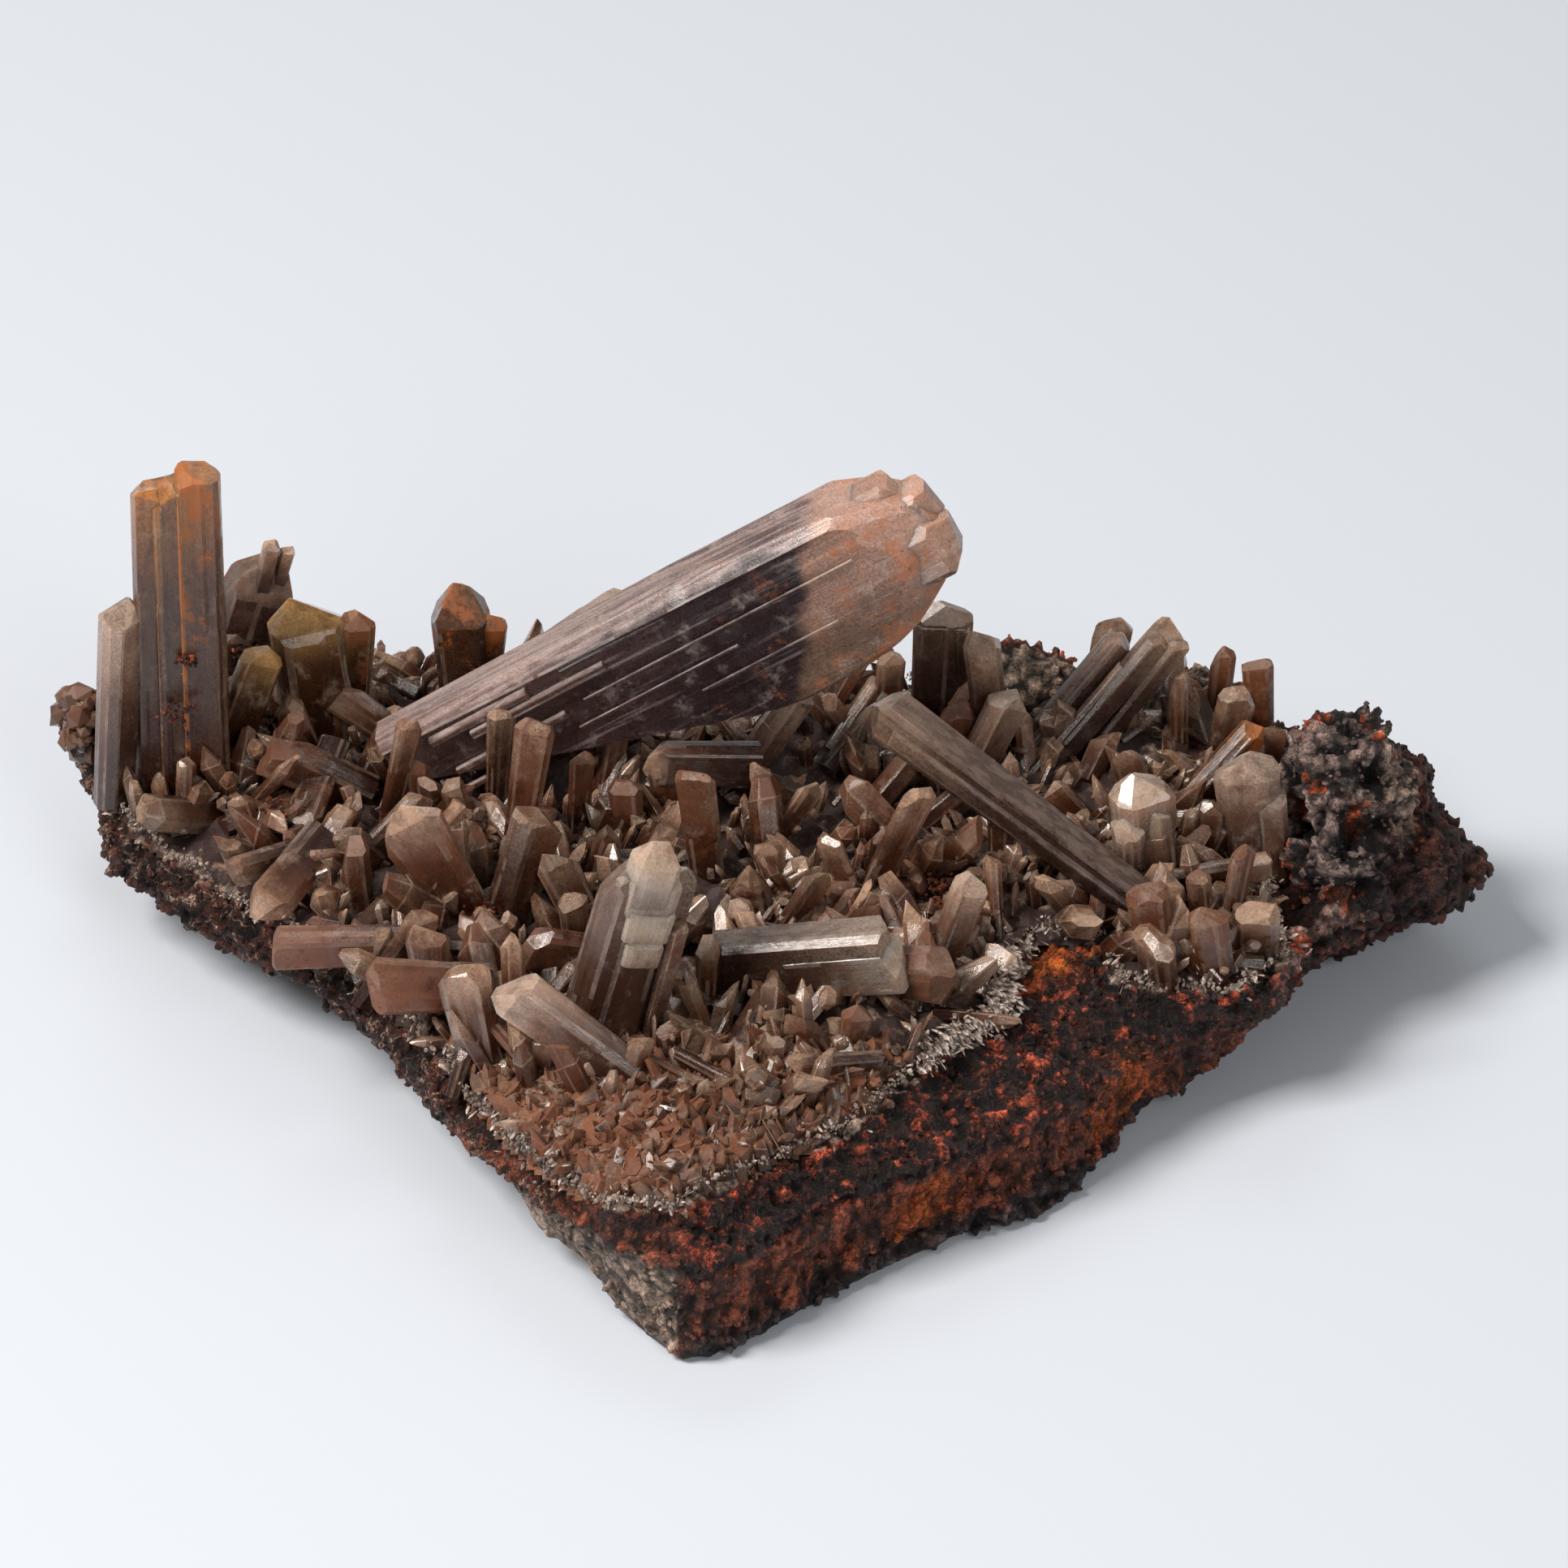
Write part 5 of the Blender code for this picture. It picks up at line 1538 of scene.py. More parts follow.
@dataclass
class Rock:
    """The limonite slab, remeshed from its solid and roughened, with loose crumbs on its walls."""

    voxel: float = 0.3
    thinning: float = 0.88  # share of the hidden triangles that is taken away
    swell: float = 0.8
    knob: float = 0.75
    knob_size: float = 1.9
    grit: float = 0.75
    grit_size: float = 0.8
    fold: float = 1.5
    sunk: float = 0.2
    crumbs: int = 4600
    seed: int = 5
    blooms: tuple[tuple[float, float, float, float, int], ...] = (  # rust on the crystals: place, reach, grains
        (12.4, 8.6, 10.8, 1.1, 260), (-37.3, 31.2, 15.8, 0.6, 90), (-19.5, 3.8, 12.6, 0.6, 70),
        (-40.6, 20.2, 22.4, 0.35, 50), (-41.4, 20.0, 18.2, 0.7, 60), (-34.6, 15.8, 12.8, 0.5, 40),
    )
    pockets: tuple[tuple[float, float, float, float], ...] = (  # soft ochre in the rock: place, radius
        (12.5, 9.0, 11.0, 4.0), (18.5, 2.5, 10.0, 4.6), (18.5, 34.0, 12.0, 4.5), (10.0, -17.0, 4.0, 4.0),
        (24.0, -7.0, 4.0, 5.0), (40.0, 20.0, 14.0, 3.0), (43.5, 20.0, 12.0, 2.6), (36.8, 14.5, 12.8, 2.0),
        (37.6, 8.0, 11.4, 2.0), (-37.0, 34.0, 13.5, 2.6),
    )

    def zones(self, points: Rows) -> Rows:
        """How ochre, pale and black the rock is at each point.

        Args:
            points: Rows of places in the drawing's millimetres.

        Returns:
            Three shares for each.
        """
        x, y, z = points.T
        ochre = np.zeros(len(points))
        for cx, cy, cz, radius in self.pockets:
            gap = np.linalg.norm(points - (cx, cy, cz), axis=1)
            ochre = np.maximum(ochre, unit(1.4 - gap / radius))
        wave = smooth_noise(points * 0.12, 3)
        band = unit(1.0 - np.abs(z - 3.8 - 1.2 * wave) / 2.0)
        right_wall = climb(x + y * 0.2, -6.0, 6.0) * (y < 6.0)
        ochre = np.maximum(ochre, band * right_wall * (0.55 + 0.3 * wave))
        left_front = climb(x, -5.0, -1.5) * climb(y, -15.0, -3.0)
        pale = left_front * climb(z, 8.6, -2.0) * unit(z / 1.2)
        outside = -rim_distance(points[:, :2])
        wide = 0.7 + 2.6 * np.exp(-(((x - 15.0) / 4.0) ** 2 + ((y + 5.0) / 5.0) ** 2))
        ragged = 0.8 * smooth_noise(points * 0.9, 33) + 0.5 * smooth_noise(points * 2.1, 34)
        crusted = unit(1.3 - outside / wide + 0.6 * ragged) * climb(z, 8.8, 0.8)
        pale = np.maximum(pale, crusted * (y < 34.0))
        streak = np.hypot((x - 44.0) / 1.3, (y - 15.5) / 3.2) + 0.3 * ragged
        pale = np.maximum(pale, unit(1.7 - streak) * (z > 11.0))
        slope = climb(z, 6.8, 1.0) * (y < 6.0) * (x < 34.0)
        lower_edge = climb(z, 2.6, -1.6)
        ends = 0.45 * (x > 20.0) * (z < 9.0) + 0.75 * (x > 42.0) + 0.9 * (x < -22.0)
        dark = unit(0.4 * slope + 0.7 * lower_edge + ends)
        return abreast(ochre * (1.0 - crusted), pale, dark * (1.0 - pale) * (1.0 - ochre))

    def strata(self, points: Rows) -> Rows:
        """How granular, ashen and veined the rock is at each point.

        Args:
            points: Rows of places in the drawing's millimetres.

        Returns:
            Three shares for each.
        """
        x, y, z = points.T
        wave = smooth_noise(points * 0.16, 9) + 0.5 * smooth_noise(points * 0.6, 10)
        right_wall = climb(x, -8.0, 4.0) * (y < 8.0) * climb(x, 38.0, -3.0)
        granular = right_wall * unit((z - 6.9 - 0.5 * wave) / 0.7)
        ashen = right_wall * unit((2.3 + 0.9 * wave - z) / 0.9)
        veined = climb(x, -12.0, -3.0)
        return abreast(granular, ashen, veined)

    def thinned(self, obj: Piece) -> bpy.types.Mesh:
        """A fine mesh of the solid that is coarser under the crust and on the underside.

        Args:
            obj: The solid's copy.

        Returns:
            The mesh.
        """
        remesh = obj.modifiers.new("Remesh", "REMESH")
        remesh.mode = "VOXEL"
        remesh.voxel_size = self.voxel * MM
        obj.data = applied(obj)
        points = read_points(obj.data)
        covered = (rim_distance(points[:, :2]) > 1.4) & (points[:, 2] > 7.0)
        hidden = covered | (points[:, 2] < 0.25)
        group = obj.vertex_groups.new(name="hidden")
        group.add(np.flatnonzero(hidden).tolist(), 1.0, "REPLACE")
        decimate = obj.modifiers.new("Decimate", "DECIMATE")
        decimate.vertex_group = group.name
        decimate.ratio = 1.0 - self.thinning * float(hidden.mean())
        fine = applied(obj)
        obj.vertex_groups.clear()
        return fine

    def relief(self, points: Rows) -> tuple[Rows, Rows]:
        """The rock's lumps, grit and folds.

        Args:
            points: Rows of places in the drawing's millimetres.

        Returns:
            How far each place stands out, and the painted light that makes its knobs and grit brighter and its pits
            darker, from 0.
        """
        x, y, z = points.T
        warped = points + 0.5 * abreast(*(smooth_noise(points * 0.9, k) for k in (51, 52, 53)))
        slab = climb(x, -6.0, -2.0) * climb(y, -14.0, -2.0)
        band = climb(z, 2.0, 1.5) * climb(z, 7.4, -0.8)
        calm = 1.0 - np.maximum(0.85 * slab, 0.6 * band * (y < 8.0))
        knobs = (0.52 - cell_distance(warped / self.knob_size, 4)) * calm
        columns = smooth_noise(points * np.array([1.5, 1.5, 0.4]), 55)
        grit = 0.52 - cell_distance(warped / self.grit_size, 8) + 0.35 * smooth_noise(points * 1.7, 54)
        grit = grit * calm + 0.5 * columns * (1.0 - calm)
        waves = layered_noise(points * np.array([0.3, 0.3, 0.55]), 4, 2)
        folds = 0.5 - np.abs(layered_noise(points * np.array([0.22, 0.42, 0.42]), 3, 71)) * 2.2
        grey = self.grey(points)
        rough = (self.knob * knobs + self.grit * grit) * (1.0 - 0.75 * grey)
        out = 0.5 * self.swell * waves + rough + self.fold * folds * grey - self.sunk
        return out, unit(0.45 + 0.9 * knobs + 0.9 * grit + 0.8 * folds * grey) ** 1.6 * 1.3

    def body(self, material: Material) -> Piece:
        """The slab itself.

        Args:
            material: Its finish.

        Returns:
            The object.
        """
        obj = placed("limonite_body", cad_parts["matrix"].data.copy())
        obj.data = fine = self.thinned(obj)
        points = read_points(fine)
        normals = np.empty(points.size)
        fine.vertices.foreach_get("normal", normals)
        out, painted_light = self.relief(points)
        wall = unit(points[:, 2] / 0.8)
        moved = points + normals.reshape(-1, 3) * (out * wall)[:, None]
        moved[:, 2] = np.maximum(moved[:, 2], 0.0)
        write_points(fine, moved)
        # surface holds the painted light of the relief, an even tone and how grey the rock is
        surface = abreast(painted_light, 0.5, self.grey(moved))
        write_values(fine, "POINT", {"zones": self.zones(moved), "strata": self.strata(moved), "surface": surface})
        fine.materials.clear()
        fine.materials.append(material)
        fine.polygons.foreach_set("use_smooth", np.ones(len(fine.polygons), bool))
        fine.update()
        return obj

    def grey(self, points: Rows) -> Rows:
        """How grey the rock is: its knobs at the right end and the back are ashy.

        Args:
            points: Rows of places in the drawing's millimetres.

        Returns:
            One share for each.
        """
        x, _, z = points.T
        return climb(x, 33.0, 3.0) * climb(z, 8.0, 3.0) * climb(x, 45.0, -3.0)

    def loose(self, body: Piece, material: Material) -> Piece:
        """Grains that cling to the walls and knobs.

        Args:
            body: The slab, which they sit on.
            material: Their finish.

        Returns:
            The object.
        """
        rng = np.random.default_rng(self.seed)
        points = read_points(body.data)
        bare = (rim_distance(points[:, :2]) < 0.6) & (points[:, 2] > 0.5)
        feet = points[rng.choice(np.flatnonzero(bare), self.crumbs, replace=False)]
        sizes = 0.15 + 0.38 * rng.uniform(0.0, 1.0, len(feet)) ** 3.0
        zones = unit(self.zones(feet) + rng.normal(0.0, 0.15, (len(feet), 3)))
        # each grain gets an even painted light, a random tone and its greyness
        surface = abreast(0.6, rng.uniform(0.0, 1.0, len(feet)), self.grey(feet))
        crumbs = Gathering("limonite_crumbs")
        add_crumbs(crumbs, feet, sizes, {"zones": zones, "strata": self.strata(feet), "surface": surface}, rng)
        for x, y, z, reach, count in self.blooms:
            feet = np.array([x, y, z]) + rng.normal(0.0, reach, (count, 3)) * (1.0, 1.0, 0.6)
            rusty = abreast(rng.uniform(0.3, 0.9, count), 0.0, rng.uniform(0.2, 1.0, count))
            # rust grains get an even painted light and a random tone
            surface = abreast(0.7, rng.uniform(0.0, 1.0, count), 0.0)
            values = {"zones": rusty, "strata": np.zeros((count, 3)), "surface": surface}
            add_crumbs(crumbs, feet, rng.uniform(0.08, 0.26, count), values, rng)
        return crumbs.build(material)

    def build(self, material: Material) -> list[Piece]:
        """Make and place the rock's pieces.

        Args:
            material: Its finish.

        Returns:
            The objects.
        """
        body = self.body(material)
        made = [body, self.loose(body, material)]
        for obj in made:
            stand_for("matrix")
        return made


@dataclass
class Druse:
    """The crust of small crystals that covers the slab's top."""

    seed: int = 17
    extent: tuple[tuple[float, float], ...] = ((-53.0, 42.0), (-29.0, 42.0))  # the ground's sheet in plan
    cell: float = 0.55
    bump: float = 1.2
    bump_size: float = 1.9
    lowest: float = 9.75
    rim_height: float = 9.2
    stout: Swarm = Swarm(440, (2.4, 6.2), (1.5, 3.3), (0.0, 75.0), 0.5, (0.4, 0.85), (0.15, 0.8), True)
    small: Swarm = Swarm(560, (1.1, 3.0), (0.6, 1.5), (0.0, 85.0), 0.5, (0.4, 0.9), (0.1, 0.7), True)
    clear: Swarm = Swarm(420, (0.8, 2.6), (0.4, 1.1), (0.0, 85.0), 0.5, (0.3, 0.9))
    sugar: Swarm = Swarm(1900, (0.5, 1.5), (0.7, 2.6), (35.0, 88.0), 0.4, (0.4, 0.95), (0.3, 0.95), True)
    shards: Swarm = Swarm(120, (1.6, 3.4), (0.8, 2.2), (5.0, 65.0), 0.6, (0.3, 0.7), (0.1, 0.6), True)
    fibres: Swarm = Swarm(7, (0.25, 0.8), (0.12, 0.34), (-70.0, 50.0), 0.4, (0.25, 0.6), (0.2, 0.7))
    tufts: int = 260
    tries: int = 14  # places that are tried for each tuft
    tufted: Place = (14.5, -4.5, 5.5)  # where most of them stand: place in plan, radius
    rim_grains: int = 3000
    pebble_count: int = 130
    pebble_lump: Place = (-48.6, 27.2, 12.2)
    pebble_reach: Factors = (1.8, 2.1, 2.2)
    hollows: tuple[Place, ...] = (  # gaps between the crystals: place in plan, radius
        (0.7, 24.0, 3.6), (3.5, 21.5, 3.2), (-4.4, 18.0, 2.0), (2.9, 13.2, 2.4), (6.8, 17.0, 3.0),
        (13.0, 17.0, 2.4), (-10.0, 22.0, 2.6), (-21.8, -2.4, 2.0), (-3.8, 6.2, 2.2), (-15.0, 20.5, 3.0),
        (11.5, -1.0, 1.6), (12.4, 8.6, 2.6),
    )

    def hollow(self, places: Rows) -> Rows:
        """How deep in one of the dark hollows each place in plan lies, from 0 to 1.

        Args:
            places: Rows of x and y.

        Returns:
            One share for each.
        """
        depth = np.zeros(len(places))
        for x, y, radius in self.hollows:
            gap = np.hypot(places[:, 0] - x, places[:, 1] - y) / radius
            depth = np.maximum(depth, unit(1.3 - gap))
        return depth

    def sheet(self, gathering: Gathering) -> None:
        """The bumpy ground between the crystals.

        Args:
            gathering: The mesh that it joins.
        """
        grid_x, grid_y = np.meshgrid(*(np.arange(low, high, self.cell) for low, high in self.extent))
        places = np.column_stack([grid_x.ravel(), grid_y.ravel()])
        away = rim_distance(places)
        bumps = 0.5 - cell_distance(np.column_stack([places / self.bump_size, np.zeros(len(places))]), 21)
        sugared = climb(places[:, 1], -10.0, -4.0)
        heights = crust_height(places) - self.bump + self.bump * bumps - 2.0 * self.hollow(places) + 0.8 * sugared
        points = np.column_stack([places, np.maximum(heights, self.lowest)])
        keep = away > -0.5
        points[:, 2] = np.where(away < 0.6, self.rim_height, points[:, 2])
        number = np.arange(len(places)).reshape(grid_x.shape)
        quads = np.stack([number[:-1, :-1], number[:-1, 1:], number[1:, 1:], number[1:, :-1]], axis=2).reshape(-1, 4)
        quads = quads[keep[quads].all(axis=1)]
        used, loops = np.unique(quads.ravel(), return_inverse=True)
        points, sugared = points[used], sugared[used]
        values = {"crystal_space": points.copy(), "growth": abreast(0.3 + sugared, 0.5, 0.35)}
        facets = {"facet": np.tile((0.5, 0.0, 1.0), (len(quads), 1))}
        gathering.add(points, loops, np.full(len(quads), 4), values, facets)

    def scattered_feet(self, count: int, rng: Chance, low: float, high: float, sink: float) -> Rows:
        """Random places on the crust between two lines across it, away from its hollows.

        Args:
            count: How many.
            rng: The source of chance.
            low: Smallest y.
            high: Largest y.
            sink: How far below the surface they lie.

        Returns:
            Rows of places.
        """
        places = np.column_stack([rng.uniform(-52.0, 40.0, count * 4), rng.uniform(low, high, count * 4)])
        fit = (rim_distance(places) > 0.9) & (self.hollow(places) < rng.uniform(0.15, 0.9, len(places)))
        places = places[fit][:count]
        return np.column_stack([places, crust_height(places) - sink])

    def rim_feet(self, count: int, rng: Chance) -> tuple[Rows, Rows]:
        """Random places along the crust's rim, with the way that is outward there.

        Args:
            count: How many.
            rng: The source of chance.

        Returns:
            Rows of places and a heading for each, in radians.
        """
        after = np.roll(CRUST_OUTLINE, -1, axis=0)
        sizes = np.linalg.norm(after - CRUST_OUTLINE, axis=1)
        side = rng.choice(len(sizes), count, p=sizes / sizes.sum())
        share = rng.uniform(0.0, 1.0, count)[:, None]
        places = CRUST_OUTLINE[side] * (1.0 - share) + after[side] * share
        way = (after - CRUST_OUTLINE)[side]
        heading = np.arctan2(way[:, 1], way[:, 0]) - math.pi / 2
        outward = abreast(np.cos(heading), np.sin(heading))
        wander = 0.5 * plan_noise(places, 0.45, 0.0, 61)
        places = places + outward * (wander + rng.normal(0.0, 0.16, count) - 0.1)[:, None]
        height = 10.25 + 0.45 * plan_noise(places, 0.3, 1.0, 62) + rng.normal(0.0, 0.22, count)
        return np.column_stack([places, height]), heading

    def rime(self, gathering: Gathering, rng: Chance) -> None:
        """The whitish crust along the rim: fine grains all along it, and wisps of fibres here and there.

        Args:
            gathering: The mesh that it joins.
            rng: The source of chance.
        """
        feet, _ = self.rim_feet(self.rim_grains, rng)
        sizes = 0.07 + 0.16 * rng.uniform(0.0, 1.0, len(feet)) ** 2
        tint = 0.5 + 0.5 * smooth_noise(feet * 0.35, 63)
        growth = abreast(rng.uniform(0.0, 1.0, len(feet)) * tint, tint, 0.2)
        add_crumbs(gathering, feet, sizes, {"crystal_space": feet, "growth": growth}, rng, facets=True)
        feet, headings = self.rim_feet(self.tufts * self.tries, rng)
        x, y, reach = self.tufted
        near = np.hypot(feet[:, 0] - x, feet[:, 1] - y) / reach
        likely = np.clip(1.5 - near, 0.025, 1.0) > rng.uniform(0.0, 1.0, len(feet))
        feet, headings = feet[likely][: self.tufts], headings[likely][: self.tufts]
        feet = np.repeat(feet, self.fibres.count, axis=0) + rng.normal(0.0, 0.55, (len(feet) * self.fibres.count, 3))
        headings = np.repeat(headings, self.fibres.count) + rng.normal(0.0, 0.3, len(feet))
        add_swarm(gathering, feet, self.fibres, rng.uniform(0.0, 0.3, len(feet)), rng, headings)

    def pebbles(self, gathering: Gathering, rng: Chance) -> None:
        """The pebbly pale lump at the left end.

        Args:
            gathering: The mesh that it joins.
            rng: The source of chance.
        """
        way = rng.normal(size=(self.pebble_count, 3))
        way /= np.linalg.norm(way, axis=1)[:, None]
        feet = np.array(self.pebble_lump) + way * np.array(self.pebble_reach)
        sizes = rng.uniform(0.4, 1.15, len(feet))
        growth = abreast(*(rng.uniform(low, high, len(feet)) for low, high in ((0.4, 1.0), (0.0, 0.35), (0.3, 1.0))))
        add_crumbs(gathering, feet, sizes, {"crystal_space": feet, "growth": growth}, rng, facets=True)

    def build(self, effects: Effects) -> list[Piece]:
        """Make and place the druse's pieces.

        Args:
            effects: The shared node groups.

        Returns:
            The objects.
        """
        rng = np.random.default_rng(self.seed)
        ground = Gathering("druse_ground")
        self.sheet(ground)
        crowd, bright, sugar = Gathering("druse_crystals"), Gathering("druse_clear"), Gathering("fine_druse")
        beds = (
            (crowd, self.stout, (-16.0, 40.0), 1.1, 0.42),
            (crowd, self.small, (-16.0, 40.0), 0.8, 0.42),
            (bright, self.clear, (-20.0, 40.0), 0.5, 0.10),
            (sugar, self.sugar, (-27.0, -9.0), 1.1, 0.5),
            (sugar, self.shards, (-27.0, -10.0), 0.9, 0.4),
        )
        for gathering, swarm, (low, high), sink, stain in beds:
            feet = self.scattered_feet(swarm.count, rng, low, high, sink)
            rust = stain + 0.4 * smooth_noise(feet * 0.12, 6) + rng.normal(0.0, 0.15, len(feet))
            tints = unit(0.5 + 0.6 * smooth_noise(feet * 0.3, 7) + rng.normal(0.0, 0.25, len(feet)))
            add_swarm(gathering, feet, swarm, unit(rust), rng, tints=tints)
        fibres = Gathering("fibrous_rim")
        self.rime(fibres, rng)
        self.pebbles(crowd, rng)
        grown = Gathering("druse_prisms")
        grower = Grower(grown, rng)
        for prism in MIDDLING:
            habit = Habit(rng.uniform(0.15, 1.0), float(unit(rng.normal(0.4, 0.28))))
            edge, height = prism.tip.edge * rng.uniform(0.4, 1.15), prism.tip.height * rng.uniform(0.9, 1.8)
            varied = Tip(min(edge, 0.9), height, prism.tip.slant + rng.uniform(-0.35, 0.35))
            wide = prism._replace(
                width=prism.width * rng.uniform(1.0, 1.3), waist=rng.uniform(0.6, 0.95), tip=varied,
                flat=prism.flat * rng.uniform(0.5, 0.95), length=prism.length * rng.uniform(0.95, 1.15),
            )
            grower.add(rooted(wide, 1.6), SMALL_CARVING, habit)
        druse = crystal_material(DRUSE, effects)
        made = [gathering.build(druse) for gathering in (crowd, grown)]
        for gathering, finish in ((ground, GROUND), (bright, CLEAR), (sugar, SUGAR), (fibres, FIBRE)):
            made.append(gathering.build(crystal_material(finish, effects)))
        for obj in made:
            stand_for("druse")
        return made


@dataclass(frozen=True)
class LargeLook:
    """How one large crystal is finished and carved; its habits go to its prisms in turn."""

    finish: CrystalFinish
    slot: str
    habits: tuple[Habit, ...] = (Habit(),)
    carving: Carving = LARGE_CARVING
    insets: tuple[Inset, ...] = ()  # small bodies on its first prism


CAP = (
    Inset(0.1, -1.0, 15.5, 4.4, 3.2, 0.8, Tip(0.4, 0.5)),
    Inset(0.3, -1.4, 13.4, 3.0, 3.8, 0.42, Tip(0.75, 0.3)),
    Inset(0.5, -1.55, 11.2, 2.8, 3.5, 0.42, Tip(0.75, 0.3)),
    Inset(0.7, -1.6, 9.0, 2.6, 2.8, 0.42, Tip(0.5, 0.5)),
    Inset(-1.5, -0.9, 12.6, 2.4, 1.2, 0.9, Tip(0.6, 0.35)),
)
LOOKS: dict[str, LargeLook] = {
    "rear_companion_crystal": LargeLook(PALE, "crystal_smoky", (Habit(0.4, 0.2),)),
    "pillar_crystal": LargeLook(
        AMBER, "crystal_amber",
        (Habit(0.5, 0.5), Habit(0.6, 0.1), Habit(0.6, 0.25), Habit(0.3, 0.3), Habit(0.35, 0.2), Habit(0.5, 1.0)),
    ),
    "pillar_companion_crystal": LargeLook(PALE, "crystal_smoky", (Habit(0.35, 0.25),), SMOOTH_CARVING),
    "leaning_crystal": LargeLook(
        SMOKY, "crystal_smoky", (Habit(0.5, 0.45), Habit(0.9, 0.2), Habit(0.9, 0.2), Habit(0.5, 0.4))
    ),
    "gemmy_crystal": LargeLook(GEMMY, "crystal_amber", (Habit(0.8, 0.25), Habit(0.2, 0.7)), CRACKED_CARVING),
    "slender_crystal": LargeLook(GEMMY, "crystal_pale", (Habit(0.8, 0.1),), SMOOTH_CARVING),
    "rusty_crystal": LargeLook(AMBER, "crystal_amber", (Habit(0.05, 0.6, 0.0, -0.05),), SMOOTH_CARVING),
    "white_capped_crystal": LargeLook(
        PALE, "crystal_pale", (Habit(0.35, 0.05, 0.0, -0.25), Habit(0.1, 0.5), Habit(0.1, 0.6)), SMOOTH_CARVING, CAP
    ),
    "crossing_crystal": LargeLook(SMOKY, "crystal_smoky", (Habit(0.2, 0.15),), LIT_CARVING),
    "blade_crystal": LargeLook(SMOKY, "crystal_smoky", (Habit(0.15, 0.2), Habit(1.0, 0.2))),
    "slim_crystal": LargeLook(PALE, "crystal_pale", (Habit(0.4, 0.5),)),
    "striated_bundle_crystal": LargeLook(SMOKY, "crystal_smoky", (Habit(0.5, 0.1), Habit(0.3, 0.0), Habit(0.7, 0.3))),
    "oblique_crystal": LargeLook(PALE, "crystal_pale", (Habit(0.7, 0.3),), SMOOTH_CARVING),
    "orange_crystal": LargeLook(AMBER, "crystal_amber", (Habit(0.6, 0.6),)),
    "egg_crystal": LargeLook(PALE, "crystal_pale", (Habit(0.9, 0.15),), CRACKED_CARVING),
    "broad_pale_crystal": LargeLook(PALE, "crystal_pale", (Habit(0.6, 0.35), Habit(0.3, 0.5)), CRACKED_CARVING),
    "ledge_crystal": LargeLook(PALE, "crystal_smoky", (Habit(0.1, 0.15), Habit(0.8, 0.1)), FROST_AND_TOP_LIGHT_CARVING),
    "upright_pale_crystal": LargeLook(PALE, "crystal_pale", (Habit(0.8, 0.1),)),
    "front_left_crystal": LargeLook(PALE, "crystal_pale", (Habit(0.75, 0.1),), FROST_AND_TOP_LIGHT_CARVING),
    "bullet_crystal": LargeLook(SMOKY, "crystal_smoky", (Habit(0.8, 0.4),), SMOOTH_CARVING),
    "knob_ended_crystal": LargeLook(PALE, "crystal_pale", (Habit(0.4, 0.4),)),
}


@dataclass
class GreatCrystal:
    """The longest crystal: a fan with a straight upper edge, a bulging lower one and a stepped, chipped end."""

    seed: int = 3
    body: Prism = Prism((-23.35, 21.1, 10.8), -2, 33, 43.6, 13.0, 0.5, 0, CHISEL, 1.0, 1.0)
    outline: Outline = Outline(
        (
            (-1.0, -2.6), (2.8, -1.4), (21.6, 4.4), (27.4, 5.9), (33.0, 5.6), (37.4, 4.5), (40.6, 2.8),
            (42.2, 0.8), (42.6, -1.4), (42.0, -3.2), (40.2, -4.7), (36.4, -6.1), (30.0, -6.3),
        ),
        0.55,
        (((5.0, -3.2, 29.0), (0.62, -0.78, 0.05)),),
    )
    habit: Habit = Habit(0.55, 0.8, 0.196)
    end_blocks: tuple[Inset, ...] = (
        Inset(0.3, -0.5, 43.2, 8.0, 4.7, 0.95, Tip(0.55, 0.36, -0.1)),
        Inset(-2.2, 0.3, 42.9, 8.0, 3.4, 1.1, Tip(0.7, 0.3, 0.06)),
        Inset(-4.2, 0.4, 41.2, 9.0, 2.6, 1.2, Tip(0.6, 0.4, 0.2)),
    )
    ribs: tuple[Inset, ...] = (
        Inset(-2.7, -3.14, 36.5, 22.0, 0.16, 0.9),
        Inset(-0.9, -3.18, 26.0, 13.0, 0.2, 0.9),
        Inset(1.0, -3.16, 33.0, 11.0, 0.14, 0.9),
        Inset(-5.3, -2.1, 22.0, 8.0, 0.6, 0.9),
        Inset(-4.1, -2.7, 17.0, 11.0, 0.7, 0.8),
        Inset(-2.2, -2.9, 12.5, 9.0, 0.55, 0.8),
        Inset(-4.9, -2.4, 11.0, 8.0, 0.7, 0.9),
        Inset(-0.6, -2.9, 9.0, 6.0, 0.5, 0.8),
    )

    def build(self, material: Material) -> Piece:
        """Make and place the crystal.

        Args:
            material: Its finish.

        Returns:
            The object.
        """
        gathering = Gathering("great_hemimorphite")
        grower = Grower(gathering, np.random.default_rng(self.seed), self.body)
        grower.add(self.body, GREAT_CARVING, self.habit, self.outline)
        for inset in self.end_blocks:
            grower.add(inset.on(self.body), PLATE_CARVING, Habit(0.6, 0.5, self.habit.zone_slope))
        for inset in self.ribs:
            grower.add(inset.on(self.body), BLADE_CARVING, Habit(0.6, 0.1, self.habit.zone_slope))
        obj = gathering.build(material, 24.0)
        stand_for("great_crystal")
        return obj


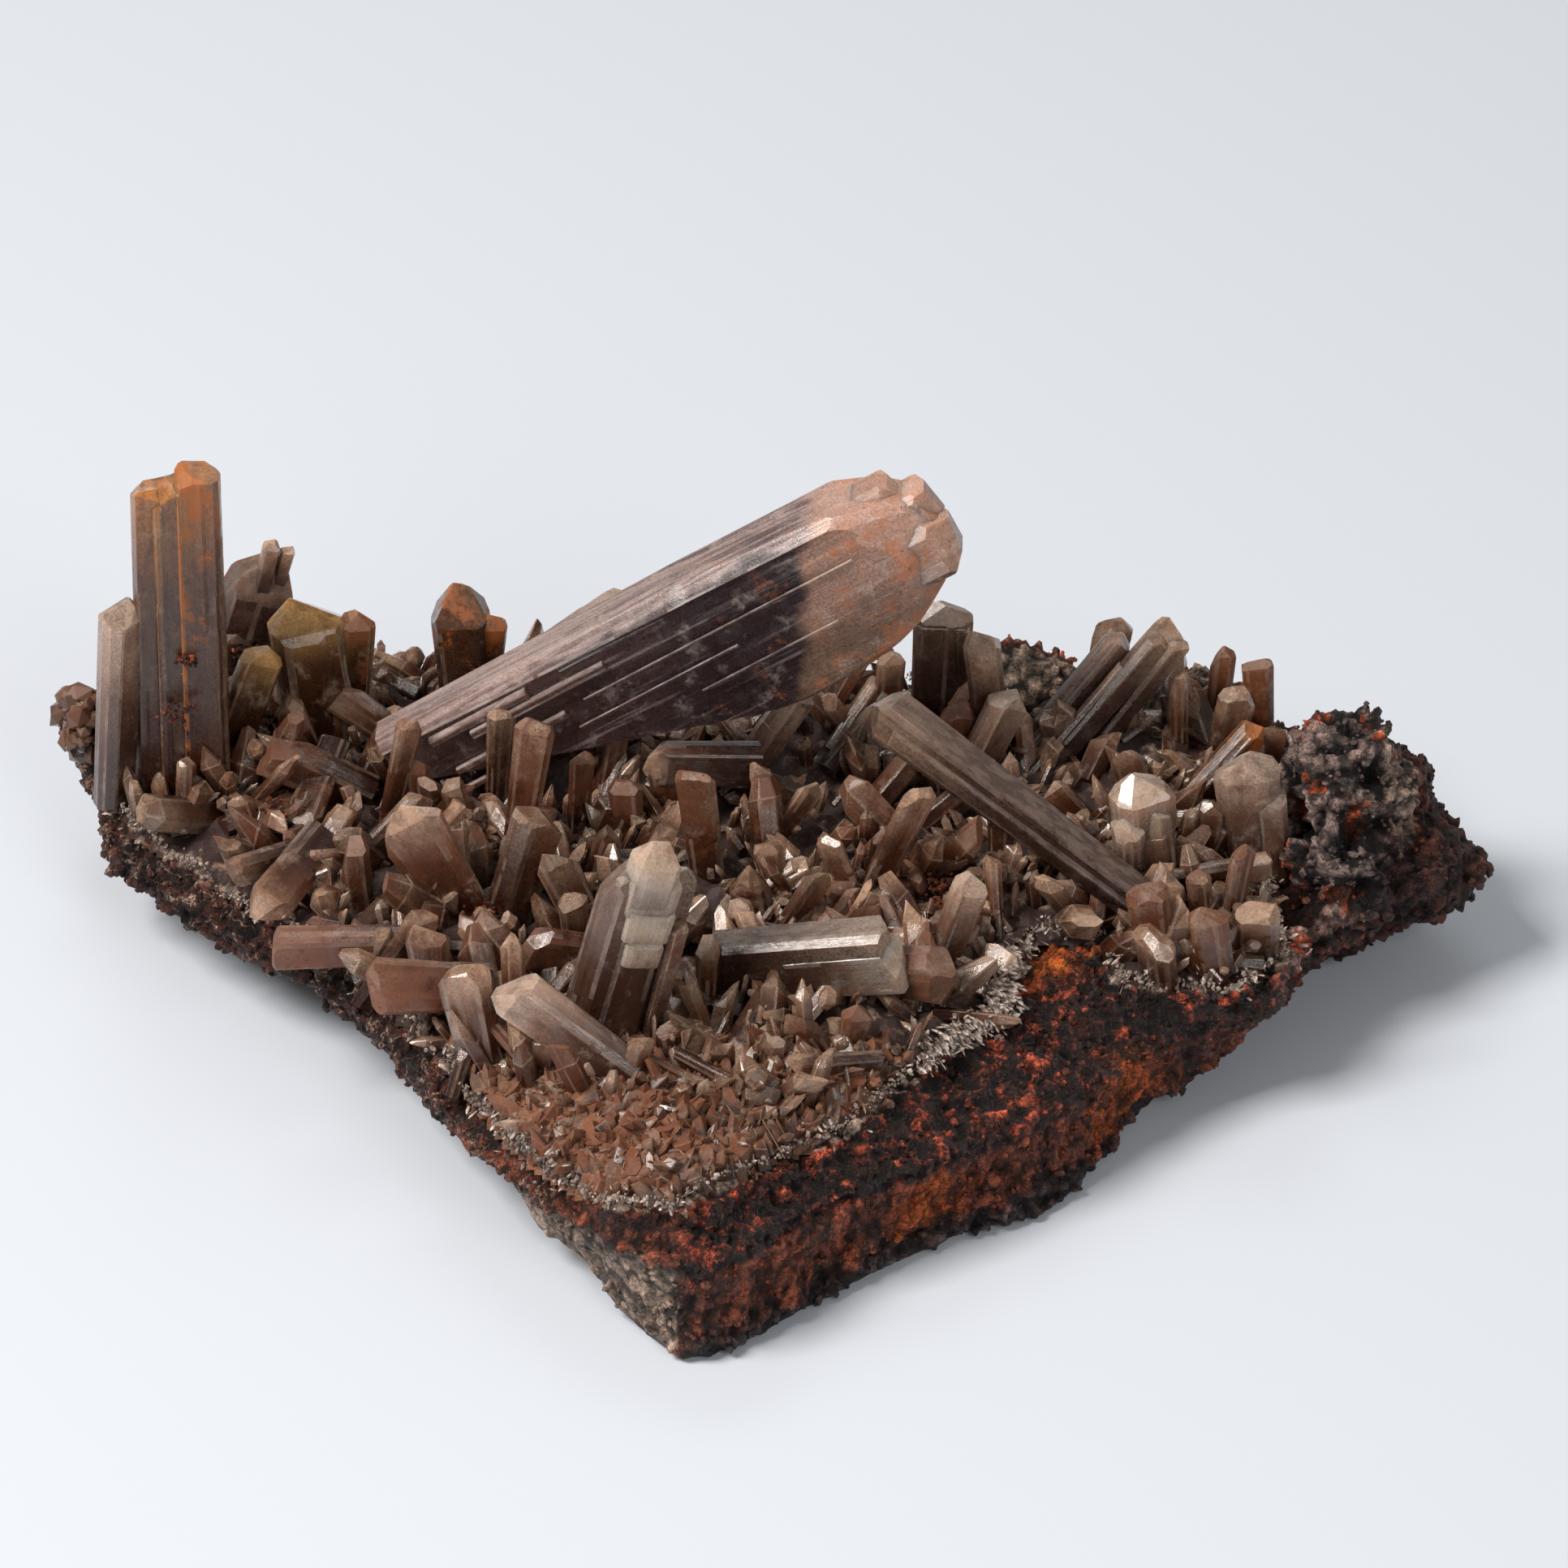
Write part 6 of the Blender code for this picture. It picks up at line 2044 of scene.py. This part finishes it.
@dataclass
class LargeCrystals:
    """The crystals that stand out of the druse, one piece each."""

    seed: int = 29

    def crystal(self, name: str, look: LargeLook, material: Material, rng: Chance) -> Piece:
        """One large crystal.

        Args:
            name: Its node's name.
            look: Its finish and carving.
            material: Its material.
            rng: The source of chance.

        Returns:
            The object.
        """
        gathering = Gathering(name.replace("_crystal", "_hemimorphite"))
        grower = Grower(gathering, rng)
        for prism, habit in zip(LARGE[name], itertools.cycle(look.habits)):
            grower.add(rooted(prism, 1.0), look.carving, habit)
        for inset in look.insets:
            grower.add(inset.on(LARGE[name][0]), BLADE_CARVING, Habit(1.0, 0.05, 0.0, 0.6))
        obj = gathering.build(material)
        stand_for(name)
        return obj

    def build(self, effects: Effects) -> list[Piece]:
        """Make every large crystal.

        Args:
            effects: The shared node groups.

        Returns:
            The objects.
        """
        materials = {look.finish.name: look.finish for look in LOOKS.values()}
        dressed = {name: crystal_material(finish, effects) for name, finish in materials.items()}
        rng = np.random.default_rng(self.seed)
        return [self.crystal(name, look, dressed[look.finish.name], rng) for name, look in LOOKS.items()]


@dataclass
class Studio:
    """Floor, lights and camera."""

    target: Place = (1.33, 4.66, 19.0)
    distance: float = 540.96
    elevation: float = 35.0
    lens: float = 180.0
    film: float = 36.0
    light: float = 0.30  # strength of the even light from all round
    floor_colour: Colour = (0.53, 0.565, 0.62)

    def floor(self) -> Piece:
        """The pale floor.

        Returns:
            The object.
        """
        bm = bmesh.new()
        bmesh.ops.create_grid(bm, x_segments=2, y_segments=2, size=3.0)
        mesh = bpy.data.meshes.new("floor")
        bm.to_mesh(mesh)
        bm.free()
        material, wiring, shader = new_material("pale floor")
        wiring.dress(shader, {"Base Color": self.floor_colour, "Roughness": 0.9, "Specular IOR Level": 0.1})
        mesh.materials.append(material)
        obj = placed("floor", mesh)
        return obj

    def lamp(self, name: str, place: Place, size: float, power: float, colour: Colour = (1.0, 1.0, 1.0)) -> None:
        """A soft square light aimed at the specimen.

        Args:
            name: Its name.
            place: Where it hangs, in metres.
            size: Its side, in metres.
            power: Its watts.
            colour: Its colour.
        """
        data = bpy.data.lights.new(name, "AREA")
        data.size, data.energy, data.color = size, power, colour
        obj = placed(name, data)
        obj.location = place
        way = Vector(self.target) * MM - Vector(place)
        obj.rotation_euler = way.to_track_quat("-Z", "Y").to_euler()

    def camera(self) -> None:
        """The camera, at the photograph's angle."""
        tilt = math.radians(self.elevation)
        look = Vector((0.0, math.cos(tilt), -math.sin(tilt)))
        data = bpy.data.cameras.new("camera")
        data.lens, data.sensor_width = self.lens, self.film
        data.clip_start, data.clip_end = 0.05, 20.0
        obj = placed("camera", data)
        obj.location = (Vector(self.target) - look * self.distance) * MM
        obj.rotation_euler = (math.radians(90.0) - tilt, 0.0, 0.0)
        bpy.context.scene.camera = obj

    def build(self) -> None:
        """Set up the studio."""
        self.floor()
        self.lamp("key", (-0.43, -0.19, 0.63), 0.32, 7.8, (1.0, 0.955, 0.91))
        self.lamp("spark", (-0.34, -0.3, 0.6), 0.05, 0.25, (1.0, 0.96, 0.92))
        self.lamp("back", (-0.1, 0.5, 0.6), 0.25, 0.8)
        self.lamp("front", (0.24, -0.5, 0.4), 0.25, 1.3)
        world = bpy.data.worlds.new("studio")
        world.use_nodes = True
        sky = {"Color": (1.0, 0.97, 0.92), "Strength": self.light}
        Wiring(world.node_tree).dress(world.node_tree.nodes["Background"], sky)
        bpy.context.scene.world = world
        bpy.context.scene.view_settings.view_transform = "Standard"
        self.camera()


def main() -> None:
    """Build the specimen and the studio."""
    logging.basicConfig(level=logging.INFO, format="%(message)s")
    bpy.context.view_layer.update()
    effects = Effects()
    pieces = Rock().build(limonite_material(LimoniteFinish(), effects))
    pieces += Druse().build(effects)
    pieces += LargeCrystals().build(effects)
    pieces.append(GreatCrystal().build(crystal_material(ROSY, effects)))
    for obj in pieces:
        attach(obj, "root")
        LOG.info("%s: %d corners", obj.name, len(obj.data.loops))
    Studio().build()


if __name__ == "__main__":
    main()
